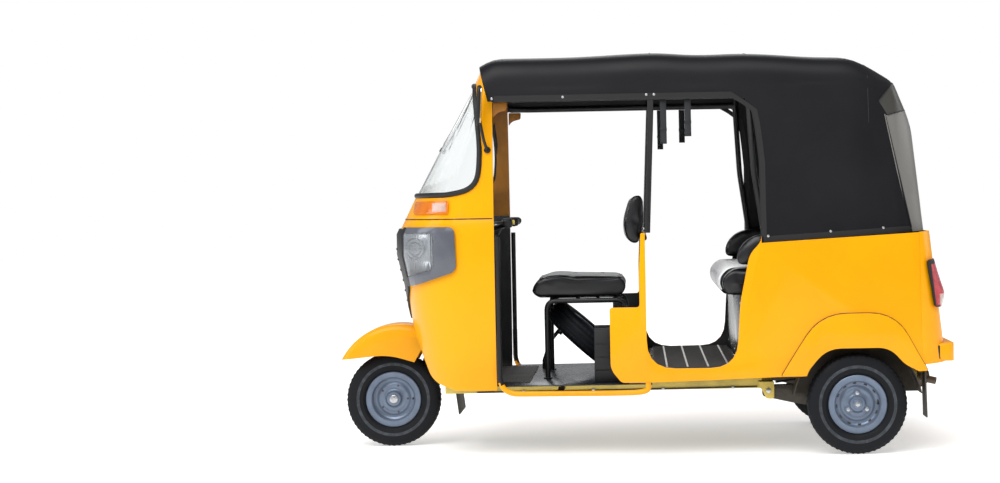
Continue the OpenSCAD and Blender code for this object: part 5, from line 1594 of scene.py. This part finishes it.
mudFlaps = paint(refined("mud_flaps", "mudFlaps", ease=0.0015), matRubber)
flapBars = []
for side in (1, -1):
    for z in (0.395, 0.413):
        flapBars.append(nutAt("flapBolt", Vector((rx - 0.2855, side * 0.56, z)), -forward, 0.0055, 0.003))
finishPiece(joined("mudFlaps", [mudFlaps] + flapBars), ["mud_flaps"])

silencer = [paint(refined("silencer", "exhaustSilencer", ease=0.003), heatedSteel)]
can = Vector((rx - 0.308, 0, 0.285))
for y in (-0.2585, -0.10, 0.06, 0.2085):
    silencer.append(paint(turned("canBand", [can + left * (y - 0.006) + up * 0.0475,
                                             can + left * (y - 0.006) + up * 0.0498,
                                             can + left * (y + 0.006) + up * 0.0498,
                                             can + left * (y + 0.006) + up * 0.0475],
                                 can, left, 48), blackSteel))
finishPiece(joined("exhaustSilencer", silencer), ["silencer"], smooth=50)

# ---- Chassis and running gear ----
# The frame's olive-yellow paint is painted shade on the body yellow
chassis = [paint(refined("chassis", "chassisFrame", ease=0.002), shadedChassisPaint)]
armPivot = Vector((rx + 0.364, 0.480, 0.262))
for side in (1, -1):
    chassis.append(nutAt("pivotNut", Vector((armPivot.x, (armPivot.y + 0.0345) * side, armPivot.z)),
                         left * side, 0.011, 0.008))
    line = [(rx + 0.40, 0.3245 * side, 0.262), (0.10, 0.3245 * side, 0.2585), (0.70, 0.3245 * side, 0.2585)]
    chassis.append(paint(pipe("brakePipe", line, 0.0032, sides=3), blackSteel))
    for x in (-0.40, -0.10, 0.20, 0.50):
        chassis.append(paint(block("pipeClip", (x - 0.006, min(0.3215 * side, 0.3285 * side), 0.2545),
                                   (x + 0.006, max(0.3215 * side, 0.3285 * side), 0.2665), 0.0012), zincPlate))
finishPiece(joined("chassisFrame", chassis), ["chassis"], smooth=40)

arms = [paint(refined("trailing_arms", "trailingArms", ease=0.003), blackSteel)]
for side in (1, -1):
    hose = [(rx + 0.33, 0.452 * side, 0.292), (rx + 0.22, 0.448 * side, 0.305),
            (rx + 0.10, 0.450 * side, 0.286), (rx + 0.02, 0.450 * side, 0.262)]
    arms.append(paint(pipe("brakeHose", roundedPath(hose, 0.05, 6), 0.0045, sides=3), sealRubber))
finishPiece(joined("trailingArms", arms), ["trailing_arms"], smooth=45)

shockY = 0.483
foot, head = Vector((rx + 0.085, shockY, 0.3004)), Vector((rx + 0.085, shockY, 0.6590))
shocks = [paint(roundBar("shockBody", foot, foot + up * 0.17, 0.0135, 32, 0.002), blackSteel),
          paint(roundBar("shockRod", foot + up * 0.16, head, 0.0065, 24), chromePlate)]
for z in (0.028, 0.3475):
    seatRing = roundBar("springSeat", foot + up * z, foot + up * (z + 0.006), 0.0255, 32, 0.0015)
    shocks.append(paint(seatRing, blackSteel))
shocks.append(paint(spring("coil", foot + up * 0.036, foot + up * 0.345, 0.0195, 0.0048, 8.5), shockEnamel))
shocks.append(paint(roundBar("bumpRubber", head - up * 0.03, head - up * 0.004, 0.012, 24, 0.003), sealRubber))
finishPiece(bothSides("rearShocks", joined("rearShock", shocks)), ["rear_shocks"], smooth=50)

for side, sign in (("left", 1), ("right", -1)):
    shaft = paint(refined("drive_shaft_" + side, side + "DriveShaft", ease=0), blackSteel)
    boots = []
    for y0, y1 in ((0.272, 0.305), (0.392, 0.360)):   # pleated rubber boots over the joints
        rings = [(0.0315 - 0.0035 * (k // 2) + (0.002 if k % 2 else 0),
                  y0 + (y1 - y0) * k / 7) for k in range(8)]
        boot = turned("boot", [Vector((rearHub.x, y * sign, rearHub.z + r)) for r, y in rings],
                      (rearHub.x, 0, rearHub.z), left, 40)
        modify(boot, "SOLIDIFY", thickness=0.0015, offset=-1)
        boots.append(paint(boot, sealRubber))
    finishPiece(joined(side + "DriveShaft", [shaft] + boots), ["drive_shaft_" + side], smooth=40,
                body="rear_wheel_" + side)

# Engine: crankcase, finned barrel, head, fan cowl, clutch cover, carburettor and air box
engine = {"fins": 9, "finGap": 0.0125, "outputZ": 0.208, "boltRing": 0.038}
eng, alloy = [], []
alloy.append(block("crankcase", (rx - 0.185, -0.165, 0.205), (rx + 0.125, 0.165, 0.385), 0.022, 4))
alloy.append(block("sump", (rx - 0.120, -0.130, 0.1905), (rx + 0.090, 0.130, 0.215), 0.010, 3))
alloy.append(block("gearCase", (rx - 0.080, -0.185, 0.195), (rx + 0.145, 0.185, 0.300), 0.018, 4))
for k in range(6):
    alloy.append(block("sumpRib", (rx - 0.115 + 0.036 * k, -0.168, 0.225),
                       (rx - 0.109 + 0.036 * k, 0.168, 0.372), 0.0015, 1))
for k in range(engine["fins"]):
    z = 0.392 + engine["finGap"] * k
    alloy.append(block("fin", (rx - 0.150, -0.145, z), (rx + 0.020, 0.035, z + 0.0045), 0.0018, 1))
alloy.append(roundBar("barrel", (rx - 0.065, -0.055, 0.385), (rx - 0.065, -0.055, 0.508), 0.062, 48))
alloy.append(block("head", (rx - 0.135, -0.130, 0.505), (rx + 0.005, 0.020, 0.540), 0.012, 3))
for side in (1, -1):
    alloy.append(roundBar("outputBoss", (rx, 0.150 * side, engine["outputZ"]),
                          (rx, 0.1995 * side, engine["outputZ"]), 0.046, 48, 0.003))
    for k in range(6):
        a = math.radians(30 + 60 * k)
        out = (forward * math.cos(a) + up * math.sin(a)) * engine["boltRing"]
        spot = Vector((rx, 0.1945 * side, engine["outputZ"])) + out
        eng.append(nutAt("bossBolt", spot, left * side, 0.005, 0.003))
alloy.append(roundBar("clutchCover", (rx - 0.095, -0.160, 0.315), (rx - 0.095, -0.192, 0.315), 0.082, 56,
                      0.008))
cowl = roundBar("fanCowl", (rx - 0.060, 0.160, 0.330), (rx - 0.060, 0.196, 0.330), 0.094, 56, 0.010)
eng.append(paint(cowl, blackSteel))
for k in range(10):   # slots of the fan cowl
    a = 2 * math.pi * k / 10
    slot = block("cowlSlot", (-0.006, 0, 0.030), (0.006, 0.0022, 0.072), 0.002, 1)
    placed(slot, Matrix.Translation((rx - 0.060, 0.1955, 0.330)) @ Matrix.Rotation(a, 4, "Y"))
    eng.append(paint(slot, castAluminium))
eng.append(paint(block("airBox", (rx - 0.020, 0.060, 0.400), (rx + 0.140, 0.190, 0.540), 0.018, 4),
                 blackPlastic))
eng.append(paint(pipe("intake", [(rx + 0.060, 0.070, 0.450), (rx + 0.050, -0.010, 0.455),
                                 (rx + 0.000, -0.040, 0.460)],
                      0.018, sides=5, bend=0.04), sealRubber))
eng.append(paint(roundBar("carburettor", (rx + 0.040, -0.050, 0.430), (rx + 0.040, -0.050, 0.500), 0.022, 32,
                          0.004), castAluminium))
eng.append(paint(roundBar("sparkCap", (rx - 0.110, -0.125, 0.520), (rx - 0.130, -0.170, 0.535), 0.011, 20,
                          0.003), sealRubber))
eng.append(paint(pipe("exhaustPipe", [(rx - 0.130, -0.060, 0.440), (rx - 0.200, -0.060, 0.430),
                                      (rx - 0.228, -0.060, 0.340)],
                      0.016, sides=5, bend=0.05), heatedSteel))
finishPiece(joined("engineUnit", [paint(p, castAluminium) for p in alloy] + eng), ["engine"],
            smooth=40)
print("running gear made")


# ---- Steering ----
rakeAngle = math.radians(27)
axisFoot = Vector((frontHub.x + 0.030, 0, 0))
axisUp = Vector((-math.sin(rakeAngle), 0, math.cos(rakeAngle)))
barTop = axisFoot + axisUp * 1.0553
bar = {"tube": 0.0125, "grip": 0.0165, "half": 0.390, "gripFrom": 0.262}
barLine = [barTop + Vector(p) for p in ((-0.094, bar["half"] - 0.004, 0.045), (-0.084, 0.230, 0.042),
                                        (-0.008, 0.090, 0.016), (-0.008, -0.090, 0.016),
                                        (-0.084, -0.230, 0.042), (-0.094, -bar["half"] + 0.004, 0.045))]
barParts = [paint(pipe("barTube", barLine, bar["tube"], sides=5, bend=0.05), powderCoat)]


def barPoint(y):
    end, knee = barLine[0], barLine[1]
    p = knee.lerp(end, (abs(y) - knee.y) / (end.y - knee.y))
    return Vector((p.x, math.copysign(p.y, y), p.z))


for side in (1, -1):
    start, end = barPoint(bar["gripFrom"] * side), barPoint((bar["half"] - 0.002) * side)
    barParts.append(paint(roundBar("grip", start, end, bar["grip"], 40, 0.003), sealRubber))
    for k in range(9):
        a = start.lerp(end, 0.10 + 0.09 * k)
        b = start.lerp(end, 0.14 + 0.09 * k)
        barParts.append(paint(roundBar("gripRib", a, b, bar["grip"] + 0.0012, 32, 0.0006), sealRubber))
    barParts.append(paint(roundBar("gripCollar", barPoint(0.236 * side), barPoint(0.262 * side), 0.021, 32,
                                   0.003), blackPlastic))
    pod = barPoint(0.225 * side)
    barParts.append(paint(block("switchPod", pod - Vector((0.020, 0.018, 0.018)),
                                pod + Vector((0.020, 0.018, 0.022)), 0.006, 3),
                          blackPlastic))
    lever = [pod + Vector((0.022, 0.0, 0.004)), pod + Vector((0.058, 0.050 * side, 0.004)),
             pod + Vector((0.052, 0.135 * side, 0.004))]
    barParts.append(paint(pipe("lever", lever, 0.0055, sides=4, bend=0.03), castAluminium))
    barParts.append(paint(roundBar("leverBall", lever[-1] - left * 0.006 * side,
                                   lever[-1] + left * 0.006 * side, 0.008, 20, 0.004),
                          castAluminium))
# Round switch knob, olive-yellow
knobAt = barPoint(0.225) + Vector((-0.020, 0.002, 0.004))
barParts.append(paint(roundBar("knob", knobAt, knobAt - forward * 0.012, 0.0105, 28, 0.003), shadedChassisPaint))
barParts.append(paint(roundBar("clamp", barTop, barTop + axisUp * 0.034, 0.033, 48, 0.004), blackSteel))
for side in (1, -1):
    barParts.append(nutAt("clampBolt", barTop + axisUp * 0.0335 + left * 0.02 * side, axisUp, 0.006, 0.004))
finishPiece(joined("handleBar", barParts), ["handlebar"], smooth=50, body="steering")

asBuilt("steering_column", "steeringColumn", blackSteel, 0.0015, 45, "steering")
link = [paint(refined("leading_link", "leadingLink", ease=0.0015), blackSteel)]
link.append(nutAt("linkNut", Vector((frontHub.x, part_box("leading_link")[0].y, tyreRadius)), -left, 0.012,
                  0.006))
finishPiece(joined("leadingLink", link), ["leading_link"], smooth=45, body="steering")

lowEye, highEye = Vector((frontHub.x - 0.034, -0.0715, 0.248)), Vector((frontHub.x - 0.120, -0.0715, 0.466))
shockWay = (highEye - lowEye).normalized()
damper = [paint(roundBar("damper", lowEye + shockWay * 0.012, lowEye + shockWay * 0.12, 0.0072, 28),
                blackSteel),
          paint(roundBar("damperRod", lowEye + shockWay * 0.11, highEye - shockWay * 0.012, 0.004, 20),
                chromePlate),
          paint(spring("frontCoil", lowEye + shockWay * 0.032, highEye - shockWay * 0.034, 0.0088, 0.0026, 11),
                shockEnamel)]
for at in (lowEye, highEye):
    damper.append(paint(turned("eye", [at + Vector((0, -0.0072, 0.0076)), at + Vector((0, -0.0072, 0.0135)),
                                       at + Vector((0, 0.0072, 0.0135)), at + Vector((0, 0.0072, 0.0076)),
                                       at + Vector((0, -0.0072, 0.0076))], at, left, 36), sealRubber))
for s in (0.028, 0.200):
    damper.append(paint(roundBar("coilSeat", lowEye + shockWay * s, lowEye + shockWay * (s + 0.004), 0.0118,
                                 28), blackSteel))
finishPiece(joined("frontShock", damper), ["front_shock"], smooth=50, body="steering")

asBuilt("front_mudguard", "frontMudguard", bodyEnamel, 0.0008, 50, "steering")
print("steering made")
